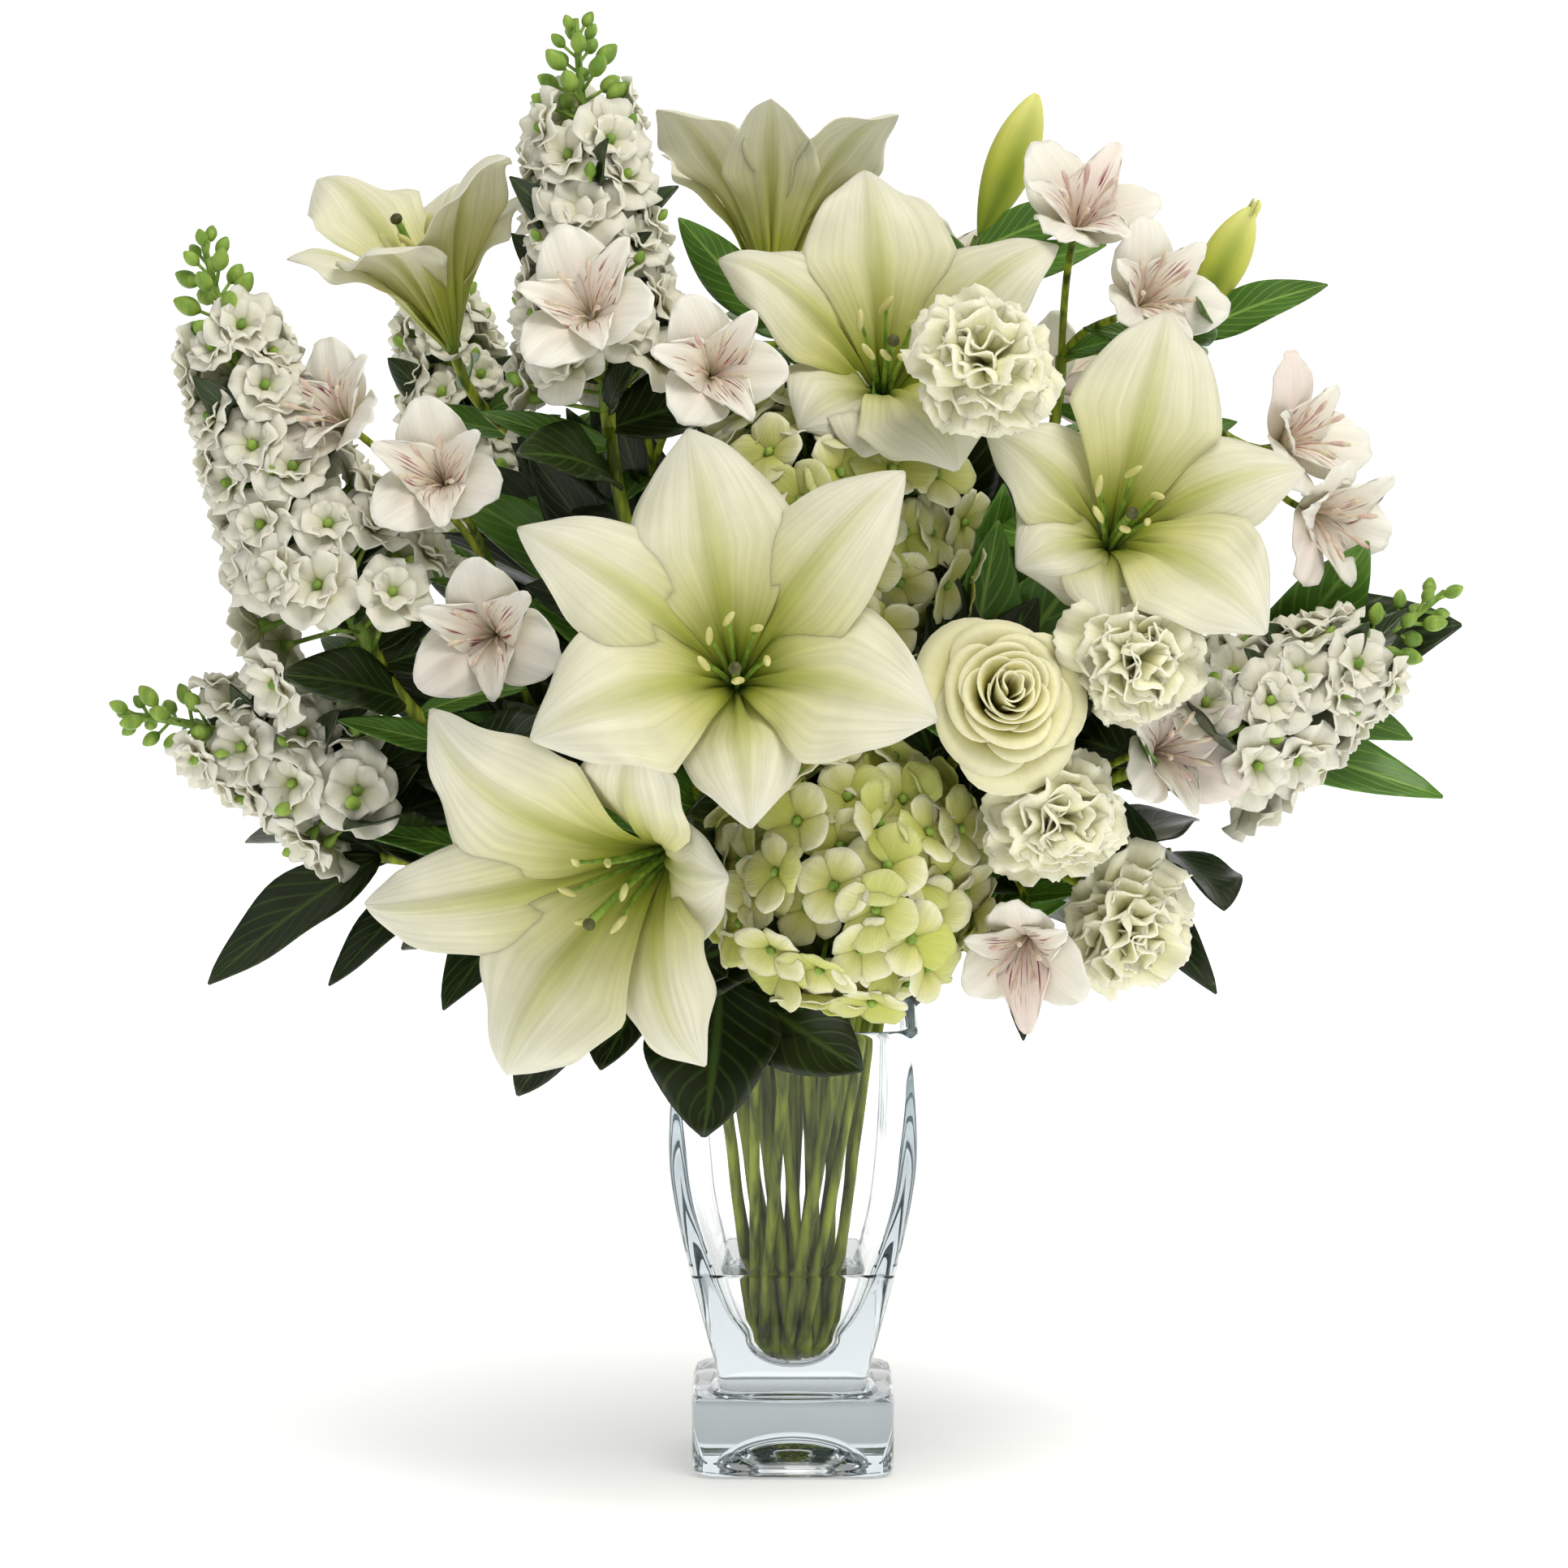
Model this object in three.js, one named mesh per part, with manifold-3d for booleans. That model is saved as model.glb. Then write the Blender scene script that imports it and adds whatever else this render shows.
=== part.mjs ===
// A vase of white lilies, cut and arranged with stock, alstroemeria, carnations, hydrangea,
// roses and dark leaves. The vase is clear pressed glass on a square foot, part filled with water.
// Millimetres, +Z up, origin at the middle of the foot's underside, -Y towards the viewer.

import * as THREE from "three";
import { mergeVertices } from "three/addons/utils/BufferGeometryUtils.js";
import Module from "manifold-3d";

const wasm = await Module();
wasm.setup();

// ---------------------------------------------------------------------------------------------
// Driving dimensions
// ---------------------------------------------------------------------------------------------

const CLEARANCE = 0.3; // what lies between two pieces that touch

const VASE_HEIGHT = 168;
const VASE_SIDES = 24;
const FOOT_HALF = 37.5;
const FOOT_HEIGHT = 30;
const FOOT_ROUND = 3;
const RIM_ROUND = 1;
const BODY_OUTSIDE = [[27.3, 33.6], [35.4, 64.5], [45.3, 107], [46.8, 131], [46.2, 165.5]];
const BODY_INSIDE = [[41.5, 165.5], [40.3, 130], [36.5, 100], [25.5, 64.5], [17.5, 51]];
const CAVITY_BOTTOM = 39;
const FOOT_SQUARENESS = 9; // exponents of the superellipses that the sections follow
const OUTSIDE_SQUARENESS = 6;
const INSIDE_SQUARENESS = 4;
const WATER_LEVEL = 76;

const BUNDLE_FOOT = 45; // height at which the stems stand closest together
const BUNDLE_PITCH = 5.8;
const BUNDLE_SPREAD = 0.004; // growth of the bundle per millimetre of height
const BUNDLE_TWIST = 0.0125;
const BUNDLE_TOP = 170;
const STEM_SIDES = 5;

const PETAL = 1.4; // thickness at the midrib; the margins are sharp
const LEAF = 1.4;
const SEAT = CLEARANCE + 0.1; // from the end of a stem to the base of its bloom
const SIMPLER = 0.18; // how far a fused surface may move where it loses slivers

// ---------------------------------------------------------------------------------------------
// Vectors and seeded draws
// ---------------------------------------------------------------------------------------------

const vec = (x, y, z) => new THREE.Vector3(x, y, z);
const UP = vec(0, 0, 1);
const rad = THREE.MathUtils.degToRad;
const mix = THREE.MathUtils.lerp;
const fraction = (x) => x - Math.floor(x);

/** A repeatable draw between 0 and 1 for a pair of whole numbers. */
const draw = (i, j) => fraction(Math.sin(i * 127.1 + j * 311.7) * 43758.5453);

/** A sum of vectors, each with its own weight: blend(a, 1, b, -2). */
function blend(...terms) {
  const sum = vec(0, 0, 0);
  for (let i = 0; i < terms.length; i += 2) sum.addScaledVector(terms[i], terms[i + 1]);
  return sum;
}

/** The direction from one point to another. */
const towards = (from, to) => blend(to, 1, from, -1).normalize();

/** Three square directions for a bloom: where it faces, its right and its up, seen from its front. */
function outlook(facing) {
  const front = facing.clone().normalize();
  const up = blend(UP, 1, front, -UP.dot(front)).normalize();
  return { front, up, right: up.clone().cross(front) };
}

/** The direction across a bloom's axis at a clock angle, 0 at its right and 90 at its top. */
const across = (view, angle) =>
  blend(view.right, Math.cos(rad(angle)), view.up, Math.sin(rad(angle)));

// ---------------------------------------------------------------------------------------------
// Solids
// ---------------------------------------------------------------------------------------------

/** A closed triangle mesh as a solid, turned the right way out. */
function solidFrom(positions, triangles) {
  const [a, b, c] = [vec(0, 0, 0), vec(0, 0, 0), vec(0, 0, 0)];
  let volume = 0;
  for (let i = 0; i < triangles.length; i += 3) {
    a.fromArray(positions, 3 * triangles[i]);
    b.fromArray(positions, 3 * triangles[i + 1]);
    c.fromArray(positions, 3 * triangles[i + 2]);
    volume += a.dot(b.cross(c));
  }
  return new wasm.Manifold(new wasm.Mesh({
    numProp: 3,
    vertProperties: new Float32Array(positions),
    triVerts: new Uint32Array(volume < 0 ? [...triangles].reverse() : triangles),
  }));
}

/** A solid from a three.js geometry that is closed. */
function solidOf(geometry) {
  geometry.deleteAttribute("normal");
  geometry.deleteAttribute("uv");
  const merged = mergeVertices(geometry, 1e-4);
  return solidFrom(Array.from(merged.attributes.position.array), Array.from(merged.index.array));
}

/** Collects points and triangles for a solid that is put together by hand. */
function draft() {
  const positions = [];
  const triangles = [];
  return {
    point: (p) => positions.push(p.x, p.y, p.z) / 3 - 1,
    triangle: (i, j, k) => triangles.push(i, j, k),
    solid: () => solidFrom(positions, triangles),
  };
}

/** The skin over a row of rings with as many points each; a ring of one point is a pole. */
function skin(rings) {
  const shape = draft();
  const count = Math.max(...rings.map((ring) => ring.length));
  const rows = rings.map((ring) => ring.map(shape.point));
  const at = (row, i) => rows[row][i % rows[row].length];
  for (let row = 0; row + 1 < rows.length; row++) {
    for (let i = 0; i < count; i++) {
      if (rows[row].length > 1) shape.triangle(at(row, i), at(row + 1, i), at(row, i + 1));
      if (rows[row + 1].length > 1) {
        shape.triangle(at(row, i + 1), at(row + 1, i), at(row + 1, i + 1));
      }
    }
  }
  const last = rows.length - 1;
  for (let i = 1; i + 1 < count; i++) {
    if (rows[0].length > 1) shape.triangle(at(0, 0), at(0, i), at(0, i + 1));
    if (rows[last].length > 1) shape.triangle(at(last, 0), at(last, i + 1), at(last, i));
  }
  return shape.solid();
}

/** A ring of points round a centre, square to a direction. */
function ringAt(centre, along, radius, sides, start = vec(0.31, 0.95, 0.05)) {
  const t = along.clone().normalize();
  const u = blend(start, 1, t, -start.dot(t)).normalize();
  const v = t.clone().cross(u);
  return Array.from({ length: sides }, (_, i) => {
    const a = (2 * Math.PI * i) / sides;
    return blend(centre, 1, u, radius * Math.cos(a), v, radius * Math.sin(a));
  });
}

/** A round rod along a row of points, with one radius or a radius for each point. */
function rod(points, radius, sides = STEM_SIDES) {
  const last = points.length - 1;
  let start = vec(0.31, 0.95, 0.05);
  return skin(points.map((p, i) => {
    const t = towards(points[Math.max(i - 1, 0)], points[Math.min(i + 1, last)]);
    start = blend(start, 1, t, -start.dot(t)).normalize();
    const size = Array.isArray(radius) ? radius[i] : radius;
    return size === 0 ? [p] : ringAt(p, t, size, sides, start);
  }));
}

/** A round body along an axis, from rows of height and radius; no radius is a pole. */
function spindle(foot, along, profile, sides) {
  return skin(profile.map(([height, radius]) => {
    const centre = blend(foot, 1, along, height);
    return radius === 0 ? [centre] : ringAt(centre, along, radius, sides);
  }));
}

/** A blade over a middle surface at(along, across), across from -1 to 1: both faces swell from
 *  sharp margins to the midrib and are split into triangles alike. */
function blade(at, rows, thickness) {
  const step = 0.01;
  const rings = Array.from({ length: rows }, (_, row) => {
    const t = row / rows;
    const ahead = blend(at(t + step, 0), 1, at(t, 0), -1);
    const normal = ahead.cross(blend(at(t, step), 1, at(t, -step), -1)).normalize();
    const middle = at(t, 0);
    return [
      at(t, -1), blend(middle, 1, normal, thickness / 2),
      at(t, 1), blend(middle, 1, normal, -thickness / 2),
    ];
  });
  return skin([...rings, [at(1, 0)]]);
}

/** A ring of petals in one skin. Each petal is an outline of [radius, share, rise] about the
 *  flower's middle, its share running from -1 to 1 across its own sector. Notches part the petals,
 *  the faces meet in sharp margins, and the underside closes on a neck that tapers to a root,
 *  which is sunk in what carries the flower. A floor is for a flower with another one inside. */
function corolla(middle, root, view, turn, outlines, notch, neck, floor) {
  const shape = draft();
  const half = 180 / outlines.length;
  const place = (angle, radius, rise) =>
    shape.point(blend(middle, 1, across(view, angle), radius, view.front, rise));
  const top = shape.point(middle);
  const foot = shape.point(root);
  const angles = outlines.map((_, i) => turn + 2 * half * i);
  const notches = angles.map((angle) => place(angle + half, notch[0], notch[1]));
  const necks = angles.map((angle) => place(angle + half, neck[0], -neck[1]));
  const floors = angles.map((angle) => (floor ? place(angle + half, floor[0], floor[1]) : top));
  outlines.forEach((outline, i) => {
    const before = (i + outlines.length - 1) % outlines.length;
    const rim = outline.map(([radius, share, rise]) => place(angles[i] + share * half, radius, rise));
    const edge = [notches[before], ...rim, notches[i]];
    const crest = Math.ceil(rim.length / 2);
    for (let j = 0; j + 1 < edge.length; j++) {
      const side = j < crest ? before : i;
      shape.triangle(floors[side], edge[j], edge[j + 1]);
      shape.triangle(necks[side], edge[j + 1], edge[j]);
    }
    if (floor) {
      shape.triangle(floors[before], edge[crest], floors[i]);
      shape.triangle(top, floors[before], floors[i]);
    }
    shape.triangle(necks[before], necks[i], edge[crest]);
    shape.triangle(foot, necks[i], necks[before]);
  });
  return shape.solid();
}

// ---------------------------------------------------------------------------------------------
// What stands already, and what can still be placed clear of it
// ---------------------------------------------------------------------------------------------

const standing = []; // { name, solid, low, high, material }

/** Takes up room under a name, in place of what the name held before. */
function reserve(name, solid, material) {
  const index = standing.findIndex((other) => other.name === name);
  const { min, max } = solid.boundingBox();
  const entry = { name, solid, low: min, high: max, material };
  if (index < 0) standing.push(entry);
  else standing[index] = entry;
}

/** Whether a solid keeps the clearance to all that stands under another name. */
function isClear(name, solid) {
  const { min, max } = solid.boundingBox();
  const apart = ({ low, high }) =>
    min.some((least, k) => least > high[k] + CLEARANCE || max[k] < low[k] - CLEARANCE);
  return standing.every((other) => other.name === name || apart(other) ||
    other.solid.minGap(solid, CLEARANCE) > 0.99 * CLEARANCE);
}

/** The first of several ways of growing a piece that stays clear, or nothing. */
function firstClear(name, ways, grow) {
  for (const way of ways) {
    const piece = grow(way);
    if (isClear(name, piece)) return piece;
    piece.delete();
  }
  return null;
}

/** Pieces fused to one body: hollows that the fusing seals are filled, loose scraps dropped. */
function fuse(pieces) {
  const bodies = wasm.Manifold.union(pieces.filter(Boolean)).simplify(SIMPLER).decompose();
  return bodies.reduce((best, body) => (body.volume() > best.volume() ? body : best));
}

// ---------------------------------------------------------------------------------------------
// Finishes
// ---------------------------------------------------------------------------------------------

const finish = (color, roughness, more = {}) =>
  new THREE.MeshStandardMaterial({ color, roughness, metalness: 0, ...more });

const GLASS = finish("#dfe9ec", 0.03, { transparent: true, opacity: 0.3 });
const WATER = finish("#e6f0f1", 0.02, { transparent: true, opacity: 0.25 });
const LILY_WHITE = finish("#f2f3e2", 0.5);
const BUD_GREEN = finish("#c3cf72", 0.5);
const STEM_GREEN = finish("#6f8a3a", 0.55);
const STOCK_WHITE = finish("#f1f2ea", 0.6);
const BLUSH_WHITE = finish("#f4e6e2", 0.5);
const CARNATION_CREAM = finish("#f4f1dd", 0.65);
const HYDRANGEA_CREAM = finish("#e9e7ae", 0.6);
const ROSE_CREAM = finish("#f1efc9", 0.55);
const LEAF_GREEN = finish("#2a4023", 0.45);

// ---------------------------------------------------------------------------------------------
// Vase and water
// ---------------------------------------------------------------------------------------------

const flat = (x, y) => new THREE.Vector2(x, y);

/** Points spaced evenly along a smooth curve through a few. */
const along = (points, count) =>
  new THREE.SplineCurve(points.map(([x, y]) => flat(x, y))).getPoints(count);

/** A quarter of an ellipse from the cavity's wall down to the axis. */
function roundedBottom([width, top], bottom, count) {
  return Array.from({ length: count }, (_, i) => {
    const a = ((i + 1) / count) * (Math.PI / 2);
    return flat(width * Math.cos(a), bottom + (top - bottom) * (1 - Math.sin(a)));
  });
}

/** Carries a turned profile over to square sections with round corners. */
function squared(profile, squareness) {
  const geometry = new THREE.LatheGeometry(profile, VASE_SIDES);
  const position = geometry.attributes.position;
  for (let i = 0; i < position.count; i++) {
    const [x, height, z] = [position.getX(i), position.getY(i), position.getZ(i)];
    const radius = Math.hypot(x, z);
    const n = squareness(i % profile.length);
    const power = radius < 1e-6 ? 1 : Math.abs(x / radius) ** n + Math.abs(z / radius) ** n;
    const reach = power ** (-1 / n);
    position.setXYZ(i, x * reach, -z * reach, height);
  }
  return solidOf(geometry);
}

const insideProfile = [
  ...along(BODY_INSIDE, 5),
  ...roundedBottom(BODY_INSIDE.at(-1), CAVITY_BOTTOM, 3),
];

/** Half the width of the cavity at a height, across its flats. */
function cavityHalf(height) {
  const i = insideProfile.findIndex((p) => p.y < height);
  if (i <= 0) return i < 0 ? 0 : insideProfile[0].x;
  const [upper, lower] = [insideProfile[i - 1], insideProfile[i]];
  return mix(lower.x, upper.x, (height - lower.y) / (upper.y - lower.y));
}

function makeVase() {
  const foot = [
    flat(0, 0), flat(FOOT_HALF - FOOT_ROUND, 0), flat(FOOT_HALF, FOOT_ROUND),
    flat(FOOT_HALF, FOOT_HEIGHT - FOOT_ROUND), flat(FOOT_HALF - FOOT_ROUND, FOOT_HEIGHT),
  ];
  const wall = along(BODY_OUTSIDE, 5);
  const rim = [
    flat(wall.at(-1).x - RIM_ROUND, VASE_HEIGHT),
    flat(insideProfile[0].x + RIM_ROUND, VASE_HEIGHT),
  ];
  const outsideEnd = foot.length + wall.length + 1;
  return squared([...foot, ...wall, ...rim, ...insideProfile], (i) => {
    if (i < foot.length) return FOOT_SQUARENESS;
    return i < outsideEnd ? OUTSIDE_SQUARENESS : INSIDE_SQUARENESS;
  });
}

/** The water fills the cavity up to its level, and the stems stand in plain holes in it. */
function makeWater(holes) {
  const wall = insideProfile.filter((p) => p.y < WATER_LEVEL - 4)
    .map((p) => flat(Math.max(0, p.x - CLEARANCE), p.y + CLEARANCE));
  const level = flat(cavityHalf(WATER_LEVEL) - CLEARANCE, WATER_LEVEL);
  const filling = squared([flat(0, WATER_LEVEL), level, ...wall], () => INSIDE_SQUARENESS);
  return filling.subtract(wasm.Manifold.union(holes));
}

// ---------------------------------------------------------------------------------------------
// Stems
// ---------------------------------------------------------------------------------------------

/** The places of the stems in the bundle, on a triangular grid. */
function bundlePlaces() {
  const places = [];
  for (let i = -3; i <= 3; i++) {
    for (let j = -3; j <= 3; j++) {
      const place = flat(BUNDLE_PITCH * (i + j / 2), BUNDLE_PITCH * j * Math.sqrt(0.75));
      if (place.length() < 2.7 * BUNDLE_PITCH) places.push(place);
    }
  }
  return places;
}

const freePlaces = bundlePlaces();

/** A place's position at a height: the bundle turns and widens as it rises, so no stems cross. */
function bundlePoint(place, height) {
  const rise = height - BUNDLE_FOOT;
  const widen = 1 + BUNDLE_SPREAD * rise;
  const twist = BUNDLE_TWIST * rise;
  return vec(place.x * widen - place.y * twist, place.y * widen + place.x * twist, height);
}

/** Takes the free place whose top lies nearest to where a stem leaves the vase. */
function takePlace(x, y) {
  const away = (place) => {
    const top = bundlePoint(place, BUNDLE_TOP);
    return Math.hypot(top.x - x, top.y - y);
  };
  freePlaces.sort((a, b) => away(a) - away(b));
  return freePlaces.shift();
}

/** The lowest height at which a stem in this place fits the cavity. */
function footHeight(place, radius) {
  const margin = 1.2;
  let height = CAVITY_BOTTOM + margin;
  const reach = () => bundlePoint(place, height).setZ(0).length() + radius + margin;
  while (reach() > cavityHalf(height)) height += 0.5;
  return height;
}

/** Sideways shifts of a stem's two middle control points, the straightest way first. */
const detours = [[0, 0]];
for (const size of [8, 16, 26, 38, 52, 66]) {
  for (let k = 0; k < 8; k++) {
    detours.push([size * Math.cos(k * rad(45)), size * Math.sin(k * rad(45))]);
  }
}

/** Points of a smooth way from one point to another, leaving and arriving in given directions. */
function wayBetween(from, leaving, to, arriving, [aside, upward], count) {
  const length = from.distanceTo(to);
  const ahead = towards(from, to);
  const side = (Math.abs(ahead.z) > 0.8 ? vec(1, 0, 0) : UP).clone().cross(ahead).normalize();
  const rise = ahead.clone().cross(side);
  const shift = blend(side, aside, rise, upward);
  return new THREE.CubicBezierCurve3(
    from,
    blend(from, 1, leaving, 0.4 * length, shift, 1),
    blend(to, 1, arriving, -0.33 * length, shift, 0.8),
    to,
  ).getPoints(count);
}

const holes = []; // what the stems need of the water
const stemWays = {}; // the points that each stem passes above the bundle

/** A stem from its foot in the vase, through the bundle, to a point that it reaches in a given
 *  direction. Its end is a row of [height, radius] beyond that point, along that direction. */
function growStem(name, to, arriving, radius, end = [], count = 3) {
  const reach = Math.hypot(to.x, to.y);
  const edge = Math.min(34, (40 * reach) / Math.max(60, to.z - BUNDLE_TOP));
  const place = takePlace((edge * to.x) / Math.max(reach, 1), (edge * to.y) / Math.max(reach, 1));
  const foot = bundlePoint(place, footHeight(place, radius));
  const top = bundlePoint(place, BUNDLE_TOP);
  const leaving = towards(foot, top);
  const hole = [blend(foot, 1, leaving, -0.4), bundlePoint(place, WATER_LEVEL + 2)];
  holes.push(rod(hole, radius + 0.4));
  const beyond = end.map(([height]) => blend(to, 1, arriving, height));
  return firstClear(name, detours, (detour) => {
    const points = wayBetween(top, leaving, to, arriving, detour, count);
    stemWays[name] = points;
    const radii = [radius, ...points.map(() => radius), ...end.map(([, swell]) => swell)];
    return rod([foot, ...points, ...beyond], radii);
  });
}

/** A side stem from a fork to the base of a bloom. */
function growBranch(name, fork, to, arriving, radius, count = 3, sides = STEM_SIDES) {
  const leaving = towards(fork, to).add(UP).normalize();
  return firstClear(name, detours, (detour) =>
    rod(wayBetween(blend(fork, 1, UP, -2), leaving, to, arriving, detour, count), radius, sides));
}

// ---------------------------------------------------------------------------------------------
// Leaves
// ---------------------------------------------------------------------------------------------

/** A leaf from its root, folded along the midrib and drooping towards its tip. */
function leafBlade(root, ahead, normal, length, half, droop) {
  const side = ahead.clone().cross(normal);
  return blade((t, s) => {
    const width = half * (0.12 * (1 - t) + Math.sin(Math.PI * Math.min(t, 1) ** 0.85) ** 0.8);
    const lift = 0.25 * Math.abs(s) * width - droop * length * t * t;
    return blend(root, 1, ahead, length * t, side, width * s, normal, lift);
  }, 3, LEAF);
}

const LEAF_TURNS = [ // yaw and pitch, the smallest first
  [0, 0], [14, 0], [-14, 0], [0, 14], [0, -14], [28, 10], [-28, 10], [28, -12], [-28, -12],
  [0, 30], [0, -30],
];
const leafWays = [];
for (const size of [1, 0.85, 0.7, 0.55, 0.4]) {
  for (const [yaw, pitch] of LEAF_TURNS) leafWays.push({ size, yaw: rad(yaw), pitch: rad(pitch) });
}

/** A leaf grown clear of all else: turned, tipped or kept smaller where it has no room. */
function growLeaf(name, root, tip, half, droop = 0.12) {
  const outward = vec(root.x, root.y, 0).normalize();
  const open = vec(0, tip.y < 0 ? -1 : 1, 0); // to the front or to the back
  const reach = root.distanceTo(tip);
  return firstClear(name, leafWays, ({ size, yaw, pitch }) => {
    const ahead = towards(root, tip).applyAxisAngle(UP, yaw);
    const sky = blend(UP, 0.6, outward, 0.6, open, 0.8);
    const side = ahead.clone().cross(sky).normalize();
    ahead.applyAxisAngle(side, pitch);
    const normal = side.clone().cross(ahead).normalize();
    return leafBlade(root, ahead, normal, size * reach, size * half, droop);
  });
}

// ---------------------------------------------------------------------------------------------
// Lilies
// ---------------------------------------------------------------------------------------------

const TRUMPET = 40; // from the base of a bloom to the middle of its throat
const TRUMPET_FLOOR = 7; // from the base to the floor inside
const PETAL_START = 16; // angle between a petal and the axis where it leaves the base
const COLLAR = 0.1; // shares of a petal's length: the floor of the trumpet,
const SPLIT = 0.4; // where neighbours part,
const PETAL_ROWS = [0.6, 0.8]; // and the rows of points from there to the tip

/** The middle surface of a lily's petal, as at(along, across). Its midrib leaves the axis at one
 *  angle and bends over to another; it fills its sector at first and then tapers to its tip. Its
 *  sides are raised into a channel near the throat, and its margins wave. */
function petalSurface(base, view, { angle, length, half, end, seed, shares }) {
  const out = across(view, angle);
  const side = view.front.clone().cross(out);
  const pieces = 20;
  const lean = (t) => rad(mix(PETAL_START, end, Math.min(t, 1) ** 1.4));
  const midrib = [flat(0, 0)];
  for (let i = 0; i < pieces; i++) {
    const a = lean((i + 0.5) / pieces);
    midrib.push(flat(Math.sin(a), Math.cos(a)).multiplyScalar(length / pieces).add(midrib[i]));
  }
  return (t, s) => {
    const i = Math.min(Math.floor(t * pieces), pieces - 1);
    const spot = midrib[i].clone().lerp(midrib[i + 1], t * pieces - i);
    const inner = blend(view.front, Math.sin(lean(t)), out, -Math.cos(lean(t)));
    const sector = spot.x * Math.tan(rad(s < 0 ? shares[0] : shares[1]));
    const full = half * (0.16 * (1 - t) + 0.97 * Math.sin(Math.PI * Math.min(t, 1) ** 0.8) ** 0.85);
    const width = Math.min(sector, full);
    const cup = mix(0.32, -0.1, t);
    const ripple = 0.14 * Math.sin(9 * t + 2 * s + seed) * t * Math.abs(s);
    const across = blend(side, width * s, inner, width * (cup * s * s + ripple));
    return blend(base, 1, view.front, spot.y, out, spot.x, across, 1);
  };
}

/** Six petals in one skin: a trumpet that parts into petals, thick at the midribs. */
function perianth(base, view, petals) {
  const shape = draft();
  const count = petals.length;
  const surfaces = petals.map((petal) => petalSurface(base, view, petal));
  const axial = (p) => blend(p, 1, base, -1).projectOnPlane(view.front).normalize();
  const both = (p, t) => { // a point on each face
    const normal = blend(view.front, t, axial(p), t - 1).normalize();
    return [1, -1].map((face) => shape.point(blend(p, 1, normal, (face * PETAL) / 2)));
  };
  const margin = (p) => Array(2).fill(shape.point(p)); // one point for both faces
  const middles = (t) => surfaces.map((at) => both(at(t, 0), t));
  const between = (t, join) => surfaces.map((at, i) => {
    const next = surfaces[(i + 1) % count];
    return join(at(t, 1).lerp(next(t, -1), 0.5), t);
  });
  const poles = [shape.point(blend(base, 1, view.front, TRUMPET_FLOOR)), shape.point(base)];
  const collar = [middles(COLLAR), between(COLLAR, both)];
  const split = [middles(SPLIT), between(SPLIT, margin)];
  const rows = surfaces.map((at) =>
    PETAL_ROWS.map((t) => [margin(at(t, -1)), both(at(t, 0), t), margin(at(t, 1))]));
  const tips = surfaces.map((at) => margin(at(1, 0)));
  for (const face of [0, 1]) {
    const add = (a, b, c) => {
      const corners = [a[face], b[face], c[face]];
      shape.triangle(...(face ? corners.reverse() : corners));
    };
    const pole = Array(2).fill(poles[face]);
    for (let i = 0; i < count; i++) {
      const before = (i + count - 1) % count;
      const inner = [collar[1][before], collar[0][i], collar[1][i]];
      let last = [split[1][before], split[0][i], split[1][i]];
      for (const side of [0, 1]) {
        add(pole, inner[side], inner[side + 1]);
        add(inner[side], last[side], last[side + 1]);
        add(inner[side], last[side + 1], inner[side + 1]);
      }
      for (const row of rows[i]) {
        add(last[0], row[0], row[1]);
        add(last[0], row[1], last[1]);
        add(last[1], row[1], row[2]);
        add(last[1], row[2], last[2]);
        last = row;
      }
      add(last[0], tips[i], last[1]);
      add(last[1], tips[i], last[2]);
    }
  }
  return shape.solid();
}

/** A slightly thicker stand-in for a petal beyond the trumpet, to try out its room. */
function petalProbe(base, view, petal) {
  const at = petalSurface(base, view, petal);
  return blade((t, s) => at(mix(0.3, 1, t), s), 4, 1.6 * PETAL);
}

const petalWays = []; // changes to a petal's lean and clock angle, the smallest first
for (const open of [0, -12, 12, -24, 24, -36, -48]) {
  for (const turn of [0, 7, -7, 12, -12]) petalWays.push({ open, turn });
}

/** A lily in bloom: broad inner petals and slimmer outer ones, six stamens and a style. */
function growLily(name, { throat, facing, turns, length, open, seed }) {
  const view = outlook(facing);
  const base = blend(throat, 1, view.front, -TRUMPET);
  const petals = turns.map((angle, i) => ({
    angle,
    length: length * (0.96 + 0.08 * draw(seed, i)),
    half: length * (i % 2 === 0 ? 0.25 : 0.17),
    end: open + 14 * (draw(seed, i) - 0.5),
    seed: seed + 2.1 * i,
    shares: [0, 0],
  }));
  const share = () => petals.forEach((petal, i) => {
    const after = petals[(i + 1) % petals.length];
    const gap = fraction((after.angle - petal.angle) / 360 + 1) * 360;
    const part = i % 2 === 0 ? 0.57 : 0.43;
    petal.shares[1] = gap * part;
    after.shares[0] = gap * (1 - part);
  });
  share();
  for (const petal of petals) {
    const bentBy = ({ open, turn }) => ({ ...petal, angle: petal.angle + turn, end: petal.end + open });
    const clear = petalWays.find((way) => isClear(name, petalProbe(base, view, bentBy(way))));
    Object.assign(petal, bentBy(clear ?? petalWays[0]));
    share();
  }
  const pieces = [perianth(base, view, petals)];
  const stalk = (from, angle, reach, lean) => {
    const out = across(view, angle);
    const at = (t) => blend(from, 1, view.front, reach * t, out, lean * reach * t * (0.5 + t));
    return [0, 0.62, 0.9, 1].map(at);
  };
  const style = stalk(blend(base, 1, view.front, 4), -90, 0.6 * length, 0.1);
  pieces.push(firstClear(name, [style], (points) => rod(points, [1.7, 1.2, 3, 0], 4)));
  for (const petal of petals) {
    const root = petalSurface(base, view, petal)(COLLAR + 0.03, 0);
    const stamen = stalk(root, petal.angle, 0.52 * length, 0.17);
    pieces.push(firstClear(name, [stamen], (points) => rod(points, [0, 0.8, 1.9, 0], 3)));
  }
  reserve(name, fuse(pieces), LILY_WHITE);
  return base;
}

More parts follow.
